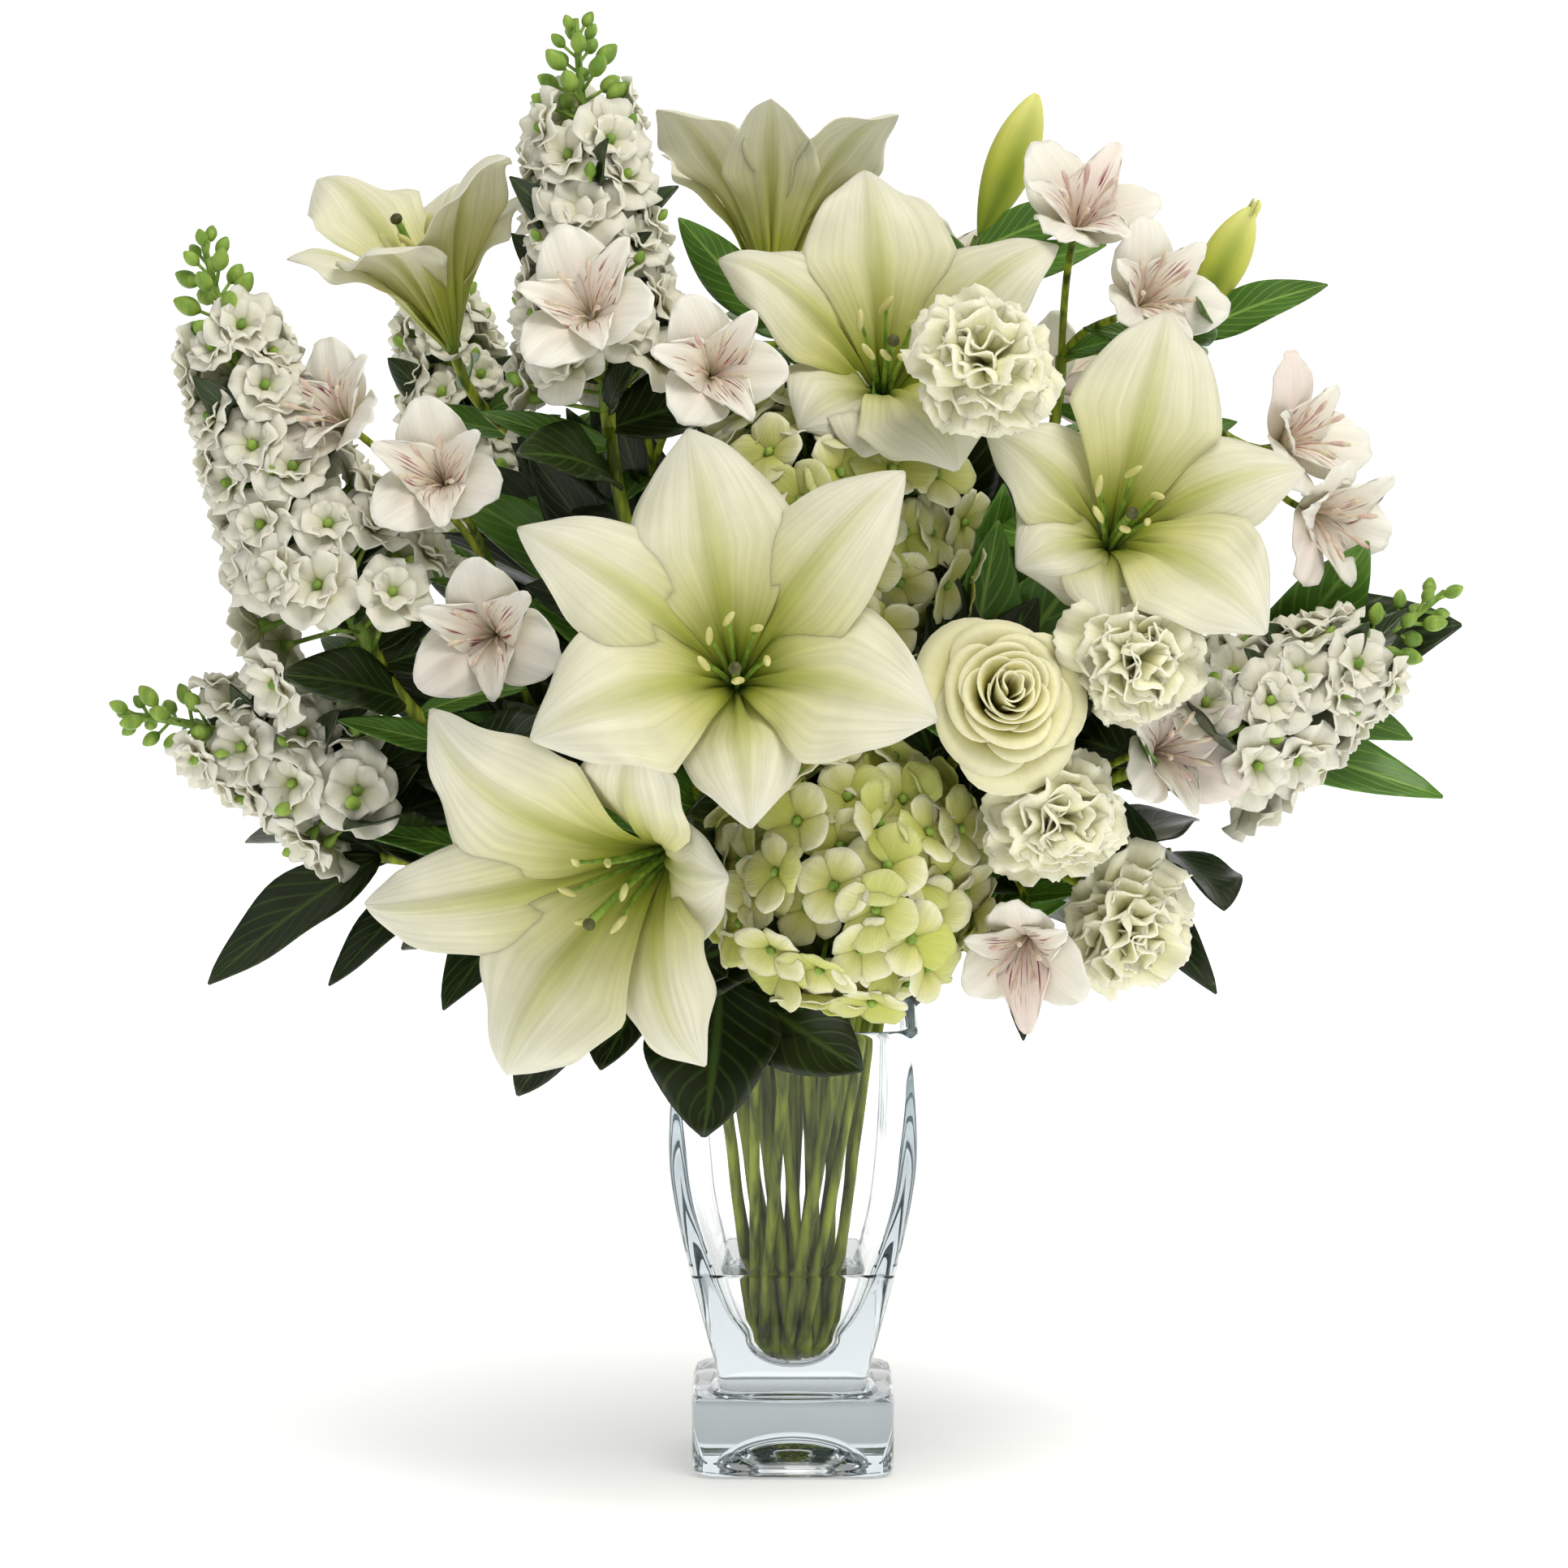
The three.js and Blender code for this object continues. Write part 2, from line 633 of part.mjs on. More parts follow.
/** A closed lily bud with three ribs, or one whose tips part as it starts to open. */
function growBud(name, base, tip, parted) {
  const view = outlook(blend(tip, 1, base, -1));
  const length = base.distanceTo(tip);
  const profile = [[0.03, 0.055], [0.25, 0.12], [0.5, 0.15], [0.75, 0.13], [0.92, 0.07]];
  const rings = profile.map(([t, swell]) => Array.from({ length: 9 }, (_, i) => {
    const radius = length * swell * (i % 3 === 0 ? 1.18 : 0.94);
    return blend(base, 1, view.front, length * t, across(view, 40 * i), radius);
  }));
  const end = blend(base, 1, view.front, length * (parted ? 0.97 : 1));
  const pieces = [skin([[base], ...rings, [end]])];
  if (parted) {
    const root = blend(base, 1, view.front, 0.45 * length);
    const rise = 0.55 * length;
    const [side, height] = [0.16 * length, 0.6 * rise];
    const outlines = Array(3).fill([[side, -0.7, height], [0.2 * length, 0, rise], [side, 0.7, height]]);
    const notch = [0.13 * length, 0.4 * rise];
    const middle = blend(root, 1, view.front, 2);
    pieces.push(corolla(middle, root, view, 90, outlines, notch, [0.1 * length, 0]));
  }
  reserve(name, fuse(pieces), BUD_GREEN);
}

// ---------------------------------------------------------------------------------------------
// Florets: outlines that make room for each other
// ---------------------------------------------------------------------------------------------

const outlineWays = [ // size and lift, the smallest change first
  [1, 0], [1, 16], [1, -16], [0.8, 0], [0.8, 28], [0.62, 0], [0.62, 34], [0.45, 12],
];
const LEAST_OUTLINE = [0.3, 0]; // where none of them has room

/** An outline made smaller and lifted by an angle. */
function bent(outline, [size, lift]) {
  const [c, s] = [size * Math.cos(rad(lift)), size * Math.sin(rad(lift))];
  return outline.map(([radius, share, rise]) =>
    [Math.max(1, radius * c - rise * s), share, radius * s + rise * c]);
}

/** A ring of like petals, each bent or kept smaller where something stands in its way. */
function growCorolla(name, middle, root, view, turn, count, outline, notch, neck, floor) {
  const half = 180 / count;
  const outlines = Array.from({ length: count }, (_, i) => {
    const angle = turn + 2 * half * i;
    const clear = outlineWays.find((way) => {
      const rim = bent(outline(i), way).map(([radius, share, rise]) =>
        blend(middle, 1, across(view, angle + share * half), radius, view.front, rise));
      const [above, below] = [0.5, -1.5].map((height) => blend(middle, 1, view.front, height));
      return isClear(name, skin([[above], [middle, ...rim], [below]]));
    });
    return bent(outline(i), clear ?? LEAST_OUTLINE);
  });
  const grow = (ring) => corolla(middle, root, view, turn, ring, notch, neck, floor);
  return firstClear(name, [outlines], grow);
}

const floretTips = [[0, 1], [20, 1], [-20, 1], [38, 0.8], [-38, 0.8], [0, 0.6]]; // turn and size

/** A four-petalled floret that stands over its root, turned aside where it has no room. */
function growFloret(name, core, facing, stand, reach, cup, turn) {
  for (const [tip, size] of floretTips) {
    const front = facing.clone().applyAxisAngle(UP, rad(tip));
    const middle = blend(core, 1, front, stand * (0.7 + 0.3 * size));
    const r = reach * size;
    const rise = r * Math.sin(rad(cup));
    const outline = () => [[0.95 * r, -0.66, 0.7 * rise], [0.95 * r, 0.66, rise]];
    const [notch, neck] = [[0.5 * r, 0.1 * rise], [0.14 * r, 1.8]];
    const floret = growCorolla(name, middle, core, outlook(front), turn, 4, outline, notch, neck);
    if (floret) return floret;
  }
  return null;
}

// ---------------------------------------------------------------------------------------------
// Stock
// ---------------------------------------------------------------------------------------------

const GOLDEN_ANGLE = 137.5;
const SPIKE_BUDS = 4;

/** A spike of stock: florets wind up its axis, smaller towards the top, and end in green buds. */
function growSpike(name, { axis, width, florets }, seed) {
  const pieces = [rod(axis.getPoints(3), [3.2, 3, 2.4, 1.4])];
  for (let i = 0; i < florets; i++) {
    const t = mix(0.05, 0.72, i / (florets - 1));
    const view = outlook(axis.getTangent(t));
    const out = across(view, GOLDEN_ANGLE * i + 20 * seed);
    const facing = blend(out, 1, view.front, 0.4).normalize();
    const size = width * (1 - 0.4 * t);
    const [stand, reach, turn] = [0.26 * size, 0.28 * size, 90 * draw(seed, i)];
    pieces.push(growFloret(name, axis.getPoint(t), facing, stand, reach, 26, turn));
  }
  for (let i = 0; i < SPIKE_BUDS; i++) {
    const t = mix(0.79, 0.99, i / (SPIKE_BUDS - 1));
    const view = outlook(axis.getTangent(t));
    const ahead = blend(across(view, GOLDEN_ANGLE * i), 1.25 - t, view.front, 0.35).normalize();
    const swell = mix(3.5, 2.4, t);
    pieces.push(firstClear(name, [mix(13, 9, t), mix(9, 6, t)], (length) =>
      spindle(axis.getPoint(t), ahead, [[0, 0], [0.62 * length, swell], [length, 0]], 4)));
  }
  reserve(name, fuse(pieces), STOCK_WHITE);
}

// ---------------------------------------------------------------------------------------------
// Alstroemeria
// ---------------------------------------------------------------------------------------------

const BLOOM_DEPTH = 0.62; // of an alstroemeria bloom, from its base to its throat, over its radius

/** A funnel of six petals, three broad and three slim. */
function growAlstroemeria(name, base, view, radius, seed) {
  const outline = (i) => {
    const broad = i % 2 === 0;
    const r = radius * (broad ? 1 : 0.9) * (0.94 + 0.12 * draw(seed, i));
    const tip = [r, 0, 0.58 * r];
    return broad ? [[0.74 * r, -0.95, 0.66 * r], tip, [0.74 * r, 0.95, 0.66 * r]] : [tip];
  };
  const root = blend(base, 1, view.front, -3);
  const [turn, notch] = [90 + 30 * draw(seed, 9), [0.4 * radius, 0.5 * radius]];
  return growCorolla(name, base, root, view, turn, 6, outline, notch, [2.4, 0]);
}

// ---------------------------------------------------------------------------------------------
// Carnations and roses: cups of petals inside each other
// ---------------------------------------------------------------------------------------------

/** A bloom of cups inside each other, from the inside outwards. Each cup's root stands in the next
 *  one's floor, and the outermost has the bloom's base under it. */
function growCups(name, { base, view, radius }, cups, lip, seed, material) {
  const pieces = cups.map(([count, lean, length, height, depth], row) => {
    const [c, s] = [Math.cos(rad(lean)), Math.sin(rad(lean))];
    const reach = length * radius;
    const outline = (i) => lip.map(([t, share, roll], j) => {
      const r = reach * (t + 0.05 * (draw(seed + 3 * row + i, j) - 0.5));
      return [r * s + roll * reach * c, share, r * c - roll * reach * s];
    });
    const middle = blend(base, 1, view.front, height);
    const root = blend(middle, 1, view.front, -depth);
    const notch = [0.45 * reach * s + 1, 0.45 * reach * c];
    const neck = row === cups.length - 1 ? [4.8, height - 0.4] : [1.2 + 1.6 * s, 0.8 + 1.2 * c];
    const floor = row > 0 ? [2.6, 2.4 * c / s] : null;
    return growCorolla(name, middle, root, view, 40 * row, count, outline, notch, neck, floor);
  });
  reserve(name, fuse(pieces), material);
}

// Each cup: petals, lean from the axis, length over the bloom's radius, height and depth of root.
const TOOTHED = [[0.98, -0.8, 0.05], [0.84, -0.3, -0.04], [1.03, 0.16, 0.07], [0.86, 0.8, -0.04]];
const CARNATION_CUPS = [[4, 18, 0.56, 12, 6.5], [6, 45, 0.78, 6.5, 4.5], [8, 76, 1, 2.8, 2.8]];
const ROUNDED = [[0.78, -0.93, 0.02], [1, -0.4, 0.12], [1, 0.4, 0.12], [0.78, 0.93, 0.02]];
const ROSE_CUPS = [
  [3, 9, 0.5, 15, 6], [4, 22, 0.72, 10, 5.5], [5, 38, 0.92, 5.5, 4], [5, 57, 1.06, 3, 3],
];

// ---------------------------------------------------------------------------------------------
// Hydrangea
// ---------------------------------------------------------------------------------------------

const HYDRANGEA_CORE = 0.62; // radius of the core over that of the head
const HYDRANGEA_FLORETS = 14;
const HYDRANGEA_LOWEST = -0.62; // cosine of the angle to which the florets reach round the head

function hydrangeaCore({ centre, view, radius }) {
  const inner = HYDRANGEA_CORE * radius;
  const profile = [-1, -0.7, 0, 0.7, 1].map((h) => [h * inner, Math.sqrt(1 - h * h) * inner]);
  return spindle(centre, view.front, profile, 7);
}

/** A mop head: four-petalled florets stand close together all over a smaller core. */
function growHydrangea(name, head, seed) {
  const pieces = [hydrangeaCore(head)];
  for (let i = 0; i < HYDRANGEA_FLORETS; i++) {
    const depth = mix(1, HYDRANGEA_LOWEST, (i + 0.4) / HYDRANGEA_FLORETS);
    const out = across(head.view, GOLDEN_ANGLE * i);
    const direction = blend(head.view.front, depth, out, Math.sqrt(1 - depth * depth));
    const core = blend(head.centre, 1, direction, 0.5 * head.radius);
    const stand = head.radius * mix(0.36, 0.44, draw(seed, i));
    const [reach, turn] = [0.44 * head.radius, 90 * draw(seed + 1, i)];
    pieces.push(growFloret(name, core, direction, stand, reach, 12, turn));
  }
  reserve(name, fuse(pieces), HYDRANGEA_CREAM);
}

// ---------------------------------------------------------------------------------------------
// The arrangement: where each bloom stands and where it faces
// ---------------------------------------------------------------------------------------------

const LILIES = { // turns are the clock angles of the petals, broad and slim by turns
  lily_1: {
    throat: vec(-20, -142, 314), facing: vec(0, -0.94, 0.35), length: 110, open: 98,
    turns: [97, 152, 205, 275, 340, 42], seed: 1,
  },
  lily_2: {
    throat: vec(-60, -128, 236), facing: vec(-0.5, -0.84, -0.2), length: 110, open: 92,
    turns: [127, 180, 240, 300, 0, 62], seed: 2,
  },
  lily_3: {
    throat: vec(116, -95, 362), facing: vec(0.1, -0.88, 0.46), length: 97, open: 96,
    turns: [75, 148, 205, 262, 310, 10], seed: 3,
  },
  lily_4: {
    throat: vec(34, -66, 417), facing: vec(0.05, -0.8, 0.6), length: 100, open: 95,
    turns: [95, 152, 222, 256, 290, 28], seed: 4,
  },
  lily_5: {
    throat: vec(-8, 12, 468), facing: vec(0, 0.3, 0.95), length: 88, open: 58,
    turns: [35, 90, 150, 210, 270, 330], seed: 5,
  },
  lily_6: {
    throat: vec(-133, -20, 449), facing: vec(-0.35, -0.2, 0.9), length: 98, open: 62,
    turns: [180, 240, 300, 0, 60, 120], seed: 6,
  },
  lily_7: {
    throat: vec(60, 125, 340), facing: vec(0.25, 0.85, 0.4), length: 100, open: 98,
    turns: [90, 150, 210, 270, 330, 30], seed: 7,
  },
};

const BUDS = {
  lily_bud_1: { base: vec(68, 0, 455), tip: vec(89, 5, 507), parted: false },
  lily_bud_2: { base: vec(145, -15, 424), tip: vec(169, -15, 472), parted: true },
};

const LILY_STEMS = { // each leaf grows below a bloom: its name, the leaf's tip and half its width
  lily_stem_1: { fork: vec(-35, -38, 268), carries: ["lily_1", "lily_2"] },
  lily_stem_2: {
    fork: vec(100, -20, 330), carries: ["lily_3", "lily_bud_2"],
    leaves: [["lily_bud_2", vec(190, -35, 441), 8], ["lily_bud_2", vec(150, -60, 436), 8]],
  },
  lily_stem_3: {
    fork: vec(25, 32, 380), carries: ["lily_4", "lily_5", "lily_bud_1"],
    leaves: [["lily_5", vec(-42, 0, 462), 9], ["lily_bud_1", vec(108, -10, 470), 8]],
  },
  lily_stem_4: { fork: vec(-50, 40, 330), carries: ["lily_6", "lily_7"] },
};

const STOCKS = {
  stock_1: {
    low: vec(-66, -66, 395), middle: vec(-72, -50, 462), top: vec(-78, -35, 537), width: 72, florets: 12,
  },
  stock_2: {
    low: vec(-150, -70, 310), middle: vec(-186, -60, 379), top: vec(-212, -45, 458), width: 68, florets: 12,
  },
  stock_3: {
    low: vec(-150, -60, 252), middle: vec(-194, -60, 276), top: vec(-243, -50, 285), width: 64, florets: 9,
  },
  stock_4: {
    low: vec(145, -60, 276), middle: vec(190, -55, 298), top: vec(236, -35, 328), width: 70, florets: 11,
  },
  stock_5: {
    low: vec(-105, 80, 330), middle: vec(-128, 96, 390), top: vec(-140, 108, 455), width: 64, florets: 8,
  },
};

const HYDRANGEAS = {
  hydrangea_1: { centre: vec(17, -88, 232), facing: vec(0.1, -0.85, -0.1), radius: 56 },
  hydrangea_2: { centre: vec(-2, -38, 348), facing: vec(0, -0.5, 0.85), radius: 60 },
  hydrangea_3: { centre: vec(-35, 92, 262), facing: vec(-0.3, 0.9, 0.2), radius: 58 },
};

const CARNATIONS = {
  carnation_1: { centre: vec(66, -128, 418), facing: vec(0.05, -0.5, 0.85), radius: 27 },
  carnation_2: { centre: vec(95, -116, 255), facing: vec(0.3, -0.9, -0.05), radius: 25 },
  carnation_3: { centre: vec(122, -90, 210), facing: vec(0.45, -0.8, -0.35), radius: 26 },
  carnation_4: { centre: vec(122, -122, 312), facing: vec(0.35, -0.9, 0.02), radius: 24 },
  carnation_5: { centre: vec(-10, 122, 385), facing: vec(-0.1, 0.8, 0.55), radius: 27 },
};

const ROSES = {
  rose_1: { centre: vec(74, -124, 300), facing: vec(0.15, -0.92, 0.3), radius: 31 },
  rose_2: { centre: vec(118, 92, 275), facing: vec(0.6, 0.75, 0.15), radius: 31 },
};

const ALSTROEMERIA_RADIUS = 29;
const ALSTROEMERIAS = { // each spray forks into blooms: their throats, and where they face
  alstroemeria_1: {
    fork: vec(-50, -42, 376),
    blooms: [[vec(-73, -102, 436), vec(-0.15, -0.9, 0.45)], [vec(-26, -106, 414), vec(0.2, -0.9, 0.3)]],
  },
  alstroemeria_2: {
    fork: vec(-105, -50, 330),
    blooms: [
      [vec(-125, -98, 376), vec(-0.1, -0.9, 0.35)], [vec(-166, -78, 398), vec(-0.5, -0.7, 0.5)],
      [vec(-108, -110, 320), vec(-0.2, -0.95, 0.1)],
    ],
  },
  alstroemeria_3: {
    fork: vec(98, -5, 412),
    blooms: [
      [vec(104, -45, 469), vec(0.15, -0.7, 0.7)], [vec(130, -54, 438), vec(0.4, -0.8, 0.4)],
      [vec(187, -40, 386), vec(0.65, -0.6, 0.3)], [vec(196, -44, 354), vec(0.6, -0.75, -0.2)],
    ],
  },
  alstroemeria_4: {
    fork: vec(78, -46, 226),
    blooms: [[vec(80, -104, 205), vec(-0.2, -0.9, -0.3)], [vec(136, -97, 278), vec(0.5, -0.85, 0.15)]],
  },
  alstroemeria_5: {
    fork: vec(30, 75, 400),
    blooms: [
      [vec(58, 100, 440), vec(0.35, 0.7, 0.6)], [vec(105, 75, 400), vec(0.7, 0.6, 0.4)],
      [vec(-62, 95, 430), vec(-0.4, 0.7, 0.6)],
    ],
  },
};

// Leafy branches: the stem's end, then each leaf's root along it, from 0 at the vase's mouth to
// 1 at the end, where its tip lies, and half its width.
const GREENS = {
  foliage_1: {
    end: vec(-150, -42, 232),
    leaves: [
      [1, vec(-214, -60, 193), 17], [0.85, vec(-166, -60, 178), 14], [0.6, vec(-128, -72, 188), 15],
      [0.7, vec(-120, -5, 185), 18], [0.9, vec(-200, 5, 240), 17],
    ],
  },
  foliage_2: {
    end: vec(-72, -46, 190),
    leaves: [
      [1, vec(-102, -62, 150), 15], [0.35, vec(-34, -70, 137), 24], [0.7, vec(-70, -90, 168), 16],
      [0.6, vec(-90, -5, 165), 18], [0.2, vec(24, -58, 158), 17],
    ],
  },
  foliage_3: {
    end: vec(138, -30, 232),
    leaves: [
      [1, vec(168, -72, 226), 17], [0.8, vec(156, -60, 186), 13], [0.55, vec(88, -66, 168), 12],
      [0.7, vec(130, 15, 190), 17],
    ],
  },
  foliage_4: {
    end: vec(182, -10, 300),
    leaves: [
      [1, vec(238, -44, 252), 15], [0.9, vec(228, -22, 278), 13], [0.95, vec(207, -48, 342), 16],
      [0.7, vec(190, 25, 270), 18],
    ],
  },
  foliage_5: {
    end: vec(-95, 60, 205),
    leaves: [[1, vec(-150, 85, 185), 18], [0.8, vec(-95, 105, 170), 18], [0.5, vec(-40, 80, 150), 20]],
  },
  foliage_6: {
    end: vec(85, 70, 205),
    leaves: [[1, vec(140, 95, 190), 18], [0.8, vec(85, 115, 175), 18], [0.5, vec(35, 80, 152), 20]],
  },
};

// ---------------------------------------------------------------------------------------------
// Building: the vase and the lilies first, the cores of the other blooms, then the stems between
// them, and last the petals, florets and leaves, which still have room to bend
// ---------------------------------------------------------------------------------------------

const each = (table, work) =>
  Object.entries(table).forEach(([name, row], index) => work(name, row, index));

reserve("vase", makeVase(), GLASS);

const bases = {}; // where each lily or bud sits on its branch, and where it points
each(LILIES, (name, lily) => {
  bases[name] = [growLily(name, lily), lily.facing.clone().normalize()];
});
each(BUDS, (name, { base, tip, parted }) => {
  growBud(name, base, tip, parted);
  bases[name] = [base, towards(base, tip)];
});

each({ ...HYDRANGEAS, ...ROSES, ...CARNATIONS }, (name, bloom) => {
  bloom.view = outlook(bloom.facing);
  const depth = name in HYDRANGEAS ? HYDRANGEA_CORE : 0.7;
  bloom.base = blend(bloom.centre, 1, bloom.view.front, -depth * bloom.radius);
});
each(HYDRANGEAS, (name, head) => reserve(name, hydrangeaCore(head)));
each({ ...ROSES, ...CARNATIONS }, (name, { base, view }) =>
  reserve(name, spindle(base, view.front, [[0, 0], [0.5, 5], [10, 12], [20, 0]], 6)));
each(STOCKS, (name, spike) => {
  const control = blend(spike.middle, 2, spike.low, -0.5, spike.top, -0.5);
  spike.axis = new THREE.QuadraticBezierCurve3(spike.low, control, spike.top);
  spike.facing = towards(spike.low, spike.axis.getPoints(3)[1]);
  reserve(name, rod(spike.axis.getPoints(3), [3.4, 7, 5, 3]));
});
each(ALSTROEMERIAS, (name, spray) => {
  spray.blooms = spray.blooms.map(([throat, facing]) => {
    const view = outlook(facing);
    return { view, base: blend(throat, 1, view.front, -BLOOM_DEPTH * ALSTROEMERIA_RADIUS) };
  });
  spray.cups = spray.blooms.map(({ base, view }) =>
    spindle(base, view.front, [[-3, 0], [4, 6], [16, 9], [20, 0]], 5));
  reserve(name, wasm.Manifold.union(spray.cups));
});

each(LILY_STEMS, (name, stem) => {
  const branches = stem.carries.map((bloom) => {
    const [base, facing] = bases[bloom];
    return growBranch(name, stem.fork, blend(base, 1, facing, -SEAT), facing, 2);
  });
  stem.stalk = fuse([growStem(name, stem.fork, UP, 2.4), ...branches]);
  reserve(name, stem.stalk);
});

/** A stem that ends in a cup under a single bloom. */
function seatStem(bloomName, point, facing, radius, cup) {
  const length = cup.at(-1)[0];
  const to = blend(point, 1, facing, -SEAT - length);
  reserve(`${bloomName}_stem`, growStem(`${bloomName}_stem`, to, facing, radius, cup), STEM_GREEN);
}

each(HYDRANGEAS, (name, { base, view }) => seatStem(name, base, view.front, 2.4, [[5, 2.6]]));
each(ROSES, (name, { base, view }) => seatStem(name, base, view.front, 2.2, [[3, 4.5], [7, 5.2]]));
each(CARNATIONS, (name, { base, view }) => seatStem(name, base, view.front, 1.6, [[4, 5], [20, 6]]));
each(STOCKS, (name, { facing, low }) => seatStem(name, low, facing, 2.3, [[3, 2.6]]));

each(ALSTROEMERIAS, (name, spray) => {
  const branches = spray.blooms.map(({ base, view }) =>
    growBranch(name, spray.fork, blend(base, 1, view.front, -1), view.front, 1.6, 2, 4));
  spray.stalk = [growStem(name, spray.fork, UP, 1.8), ...branches];
  reserve(name, wasm.Manifold.union([...spray.stalk, ...spray.cups]));
});

each(GREENS, (name, branch) => {
  const outward = branch.end.clone().setZ(0.1 * branch.end.length()).normalize();
  branch.stem = growStem(name, branch.end, outward, 1.7);
  reserve(name, branch.stem);
});

each(ROSES, (name, bloom, index) =>
  growCups(name, bloom, ROSE_CUPS, ROUNDED, 30 + index, ROSE_CREAM));
each(CARNATIONS, (name, bloom, index) =>
  growCups(name, bloom, CARNATION_CUPS, TOOTHED, 10 + index, CARNATION_CREAM));
each(ALSTROEMERIAS, (name, { blooms, stalk }, index) => {
  const flowers = blooms.map(({ base, view }, i) =>
    growAlstroemeria(name, base, view, ALSTROEMERIA_RADIUS, 20 + 5 * index + i));
  reserve(name, fuse([...stalk, ...flowers]), BLUSH_WHITE);
});
each(STOCKS, (name, spike, index) => growSpike(name, spike, 50 + index));
each(HYDRANGEAS, (name, head, index) => growHydrangea(name, head, 60 + index));
each(GREENS, (name, { stem, leaves }) => {
  const points = stemWays[name];
  const blades = leaves.map(([share, tip, half]) => {
    const place = share * (points.length - 1);
    const i = Math.min(Math.floor(place), points.length - 2);
    return growLeaf(name, points[i].clone().lerp(points[i + 1], place - i), tip, half);
  });
  reserve(name, fuse([stem, ...blades]), LEAF_GREEN);
});

each(LILY_STEMS, (name, { stalk, leaves = [] }) => {
  const blades = leaves.map(([bloom, tip, half]) => {
    const [base, facing] = bases[bloom];
    return growLeaf(name, blend(base, 1, facing, -6), tip, half);
  });
  reserve(name, fuse([stalk, ...blades]), STEM_GREEN);
});

reserve("water", makeWater(holes), WATER);

// ---------------------------------------------------------------------------------------------
// Scene graph
// ---------------------------------------------------------------------------------------------

/** A solid as a three.js mesh. */
function meshOf({ name, solid, material }) {
  const { vertProperties, triVerts } = solid.getMesh();
  const geometry = new THREE.BufferGeometry();
  geometry.setAttribute("position", new THREE.BufferAttribute(new Float32Array(vertProperties), 3));
  geometry.setIndex(new THREE.BufferAttribute(new Uint32Array(triVerts), 1));
  const mesh = new THREE.Mesh(geometry, material);
  mesh.name = name;
  return mesh;
}

const bouquet = new THREE.Group();
for (const piece of standing) bouquet.add(meshOf(piece));

export default bouquet;
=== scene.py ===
# %% [markdown]
# # Lilies in a glass vase
# A florist's bouquet of white lilies with stock, alstroemeria, carnations, hydrangea, roses and
# dark leaves, in a clear vase on a square foot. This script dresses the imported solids: each bloom
# is worked out again as fine surfaces, at the same place and size and on the same root.

# %% Load the frame
import bpy
import numpy as np
from mathutils import Matrix


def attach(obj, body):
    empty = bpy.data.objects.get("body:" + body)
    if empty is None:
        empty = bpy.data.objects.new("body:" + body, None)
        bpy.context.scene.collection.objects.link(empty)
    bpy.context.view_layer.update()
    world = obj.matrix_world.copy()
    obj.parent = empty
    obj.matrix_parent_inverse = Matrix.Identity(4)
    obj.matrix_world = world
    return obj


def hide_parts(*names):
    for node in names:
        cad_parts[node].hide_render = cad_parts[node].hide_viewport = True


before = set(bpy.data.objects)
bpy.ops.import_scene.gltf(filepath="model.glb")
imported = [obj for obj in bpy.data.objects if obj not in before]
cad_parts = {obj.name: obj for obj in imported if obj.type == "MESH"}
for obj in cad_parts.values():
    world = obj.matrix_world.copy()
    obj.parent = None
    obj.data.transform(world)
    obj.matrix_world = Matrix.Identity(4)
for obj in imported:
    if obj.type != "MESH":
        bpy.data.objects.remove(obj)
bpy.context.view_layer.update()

MM = 0.001  # the tables below are in millimetres, Blender works in metres

# %% [markdown]
# ## Camera, floor and light
# The photograph looks slightly down on the vase from the front, through a long lens. A white sweep
# of paper is floor and background in one, and it glows with painted light, weaker near the vase. A
# large soft lamp stands high in front, with two weak ones at the left and behind, in a pale room
# whose walls are lighter at the foot than its ceiling. So the shadow round the foot stays faint, and
# the white petals keep some shape.

# %% Camera
ELEVATION, DISTANCE = np.radians(7.0), 2200.0
FRAMED = 579.6                              # millimetres across the picture at the vase
LOOK_AT = np.array([-3.3, 0.0, 253.6])


def aim(obj, place, target):
    """Puts an object at a place and turns its -Z axis to a target, with its Y axis upwards."""
    back = np.subtract(place, target) / np.linalg.norm(np.subtract(place, target))
    right = np.cross([0, 0, 1], back)
    right = right / np.linalg.norm(right)
    columns = np.stack([right, np.cross(back, right), back, np.multiply(place, MM)], -1)
    obj.matrix_world = Matrix(np.vstack([columns, [0, 0, 0, 1]]).tolist())


camera = bpy.data.objects.new("camera", bpy.data.cameras.new("camera"))
bpy.context.scene.collection.objects.link(camera)
camera.data.sensor_width = 36
camera.data.lens = 36 * DISTANCE / FRAMED
camera.data.clip_end = 50
aim(camera, LOOK_AT + DISTANCE * np.array([0, -np.cos(ELEVATION), np.sin(ELEVATION)]), LOOK_AT)
bpy.context.scene.camera = camera
print("lens", round(camera.data.lens, 1), "mm at", DISTANCE / 1000, "m")

# %% Light
scene = bpy.context.scene
scene.view_settings.view_transform = "Standard"
scene.world = bpy.data.worlds.new("pale_room")
scene.world.use_nodes = True
room = scene.world.node_tree
room.nodes["Background"].inputs["Color"].default_value = (1.0, 1.0, 0.985, 1)
# Its walls are white up to eye level and fade to a duller ceiling.
up = room.nodes.new("ShaderNodeSeparateXYZ")
fade = room.nodes.new("ShaderNodeMapRange")
for socket, value in (("From Min", 0.03), ("From Max", 0.15), ("To Min", 1.0), ("To Max", 0.4)):
    fade.inputs[socket].default_value = value
room.links.new(room.nodes.new("ShaderNodeTexCoord").outputs["Generated"], up.inputs[0])
room.links.new(up.outputs["Z"], fade.inputs["Value"])
room.links.new(fade.outputs[0], room.nodes["Background"].inputs["Strength"])
# Light turns many times inside thick glass, and its edges would be black if it was given up early.
scene.cycles.max_bounces = scene.cycles.transmission_bounces = scene.cycles.glossy_bounces = 32

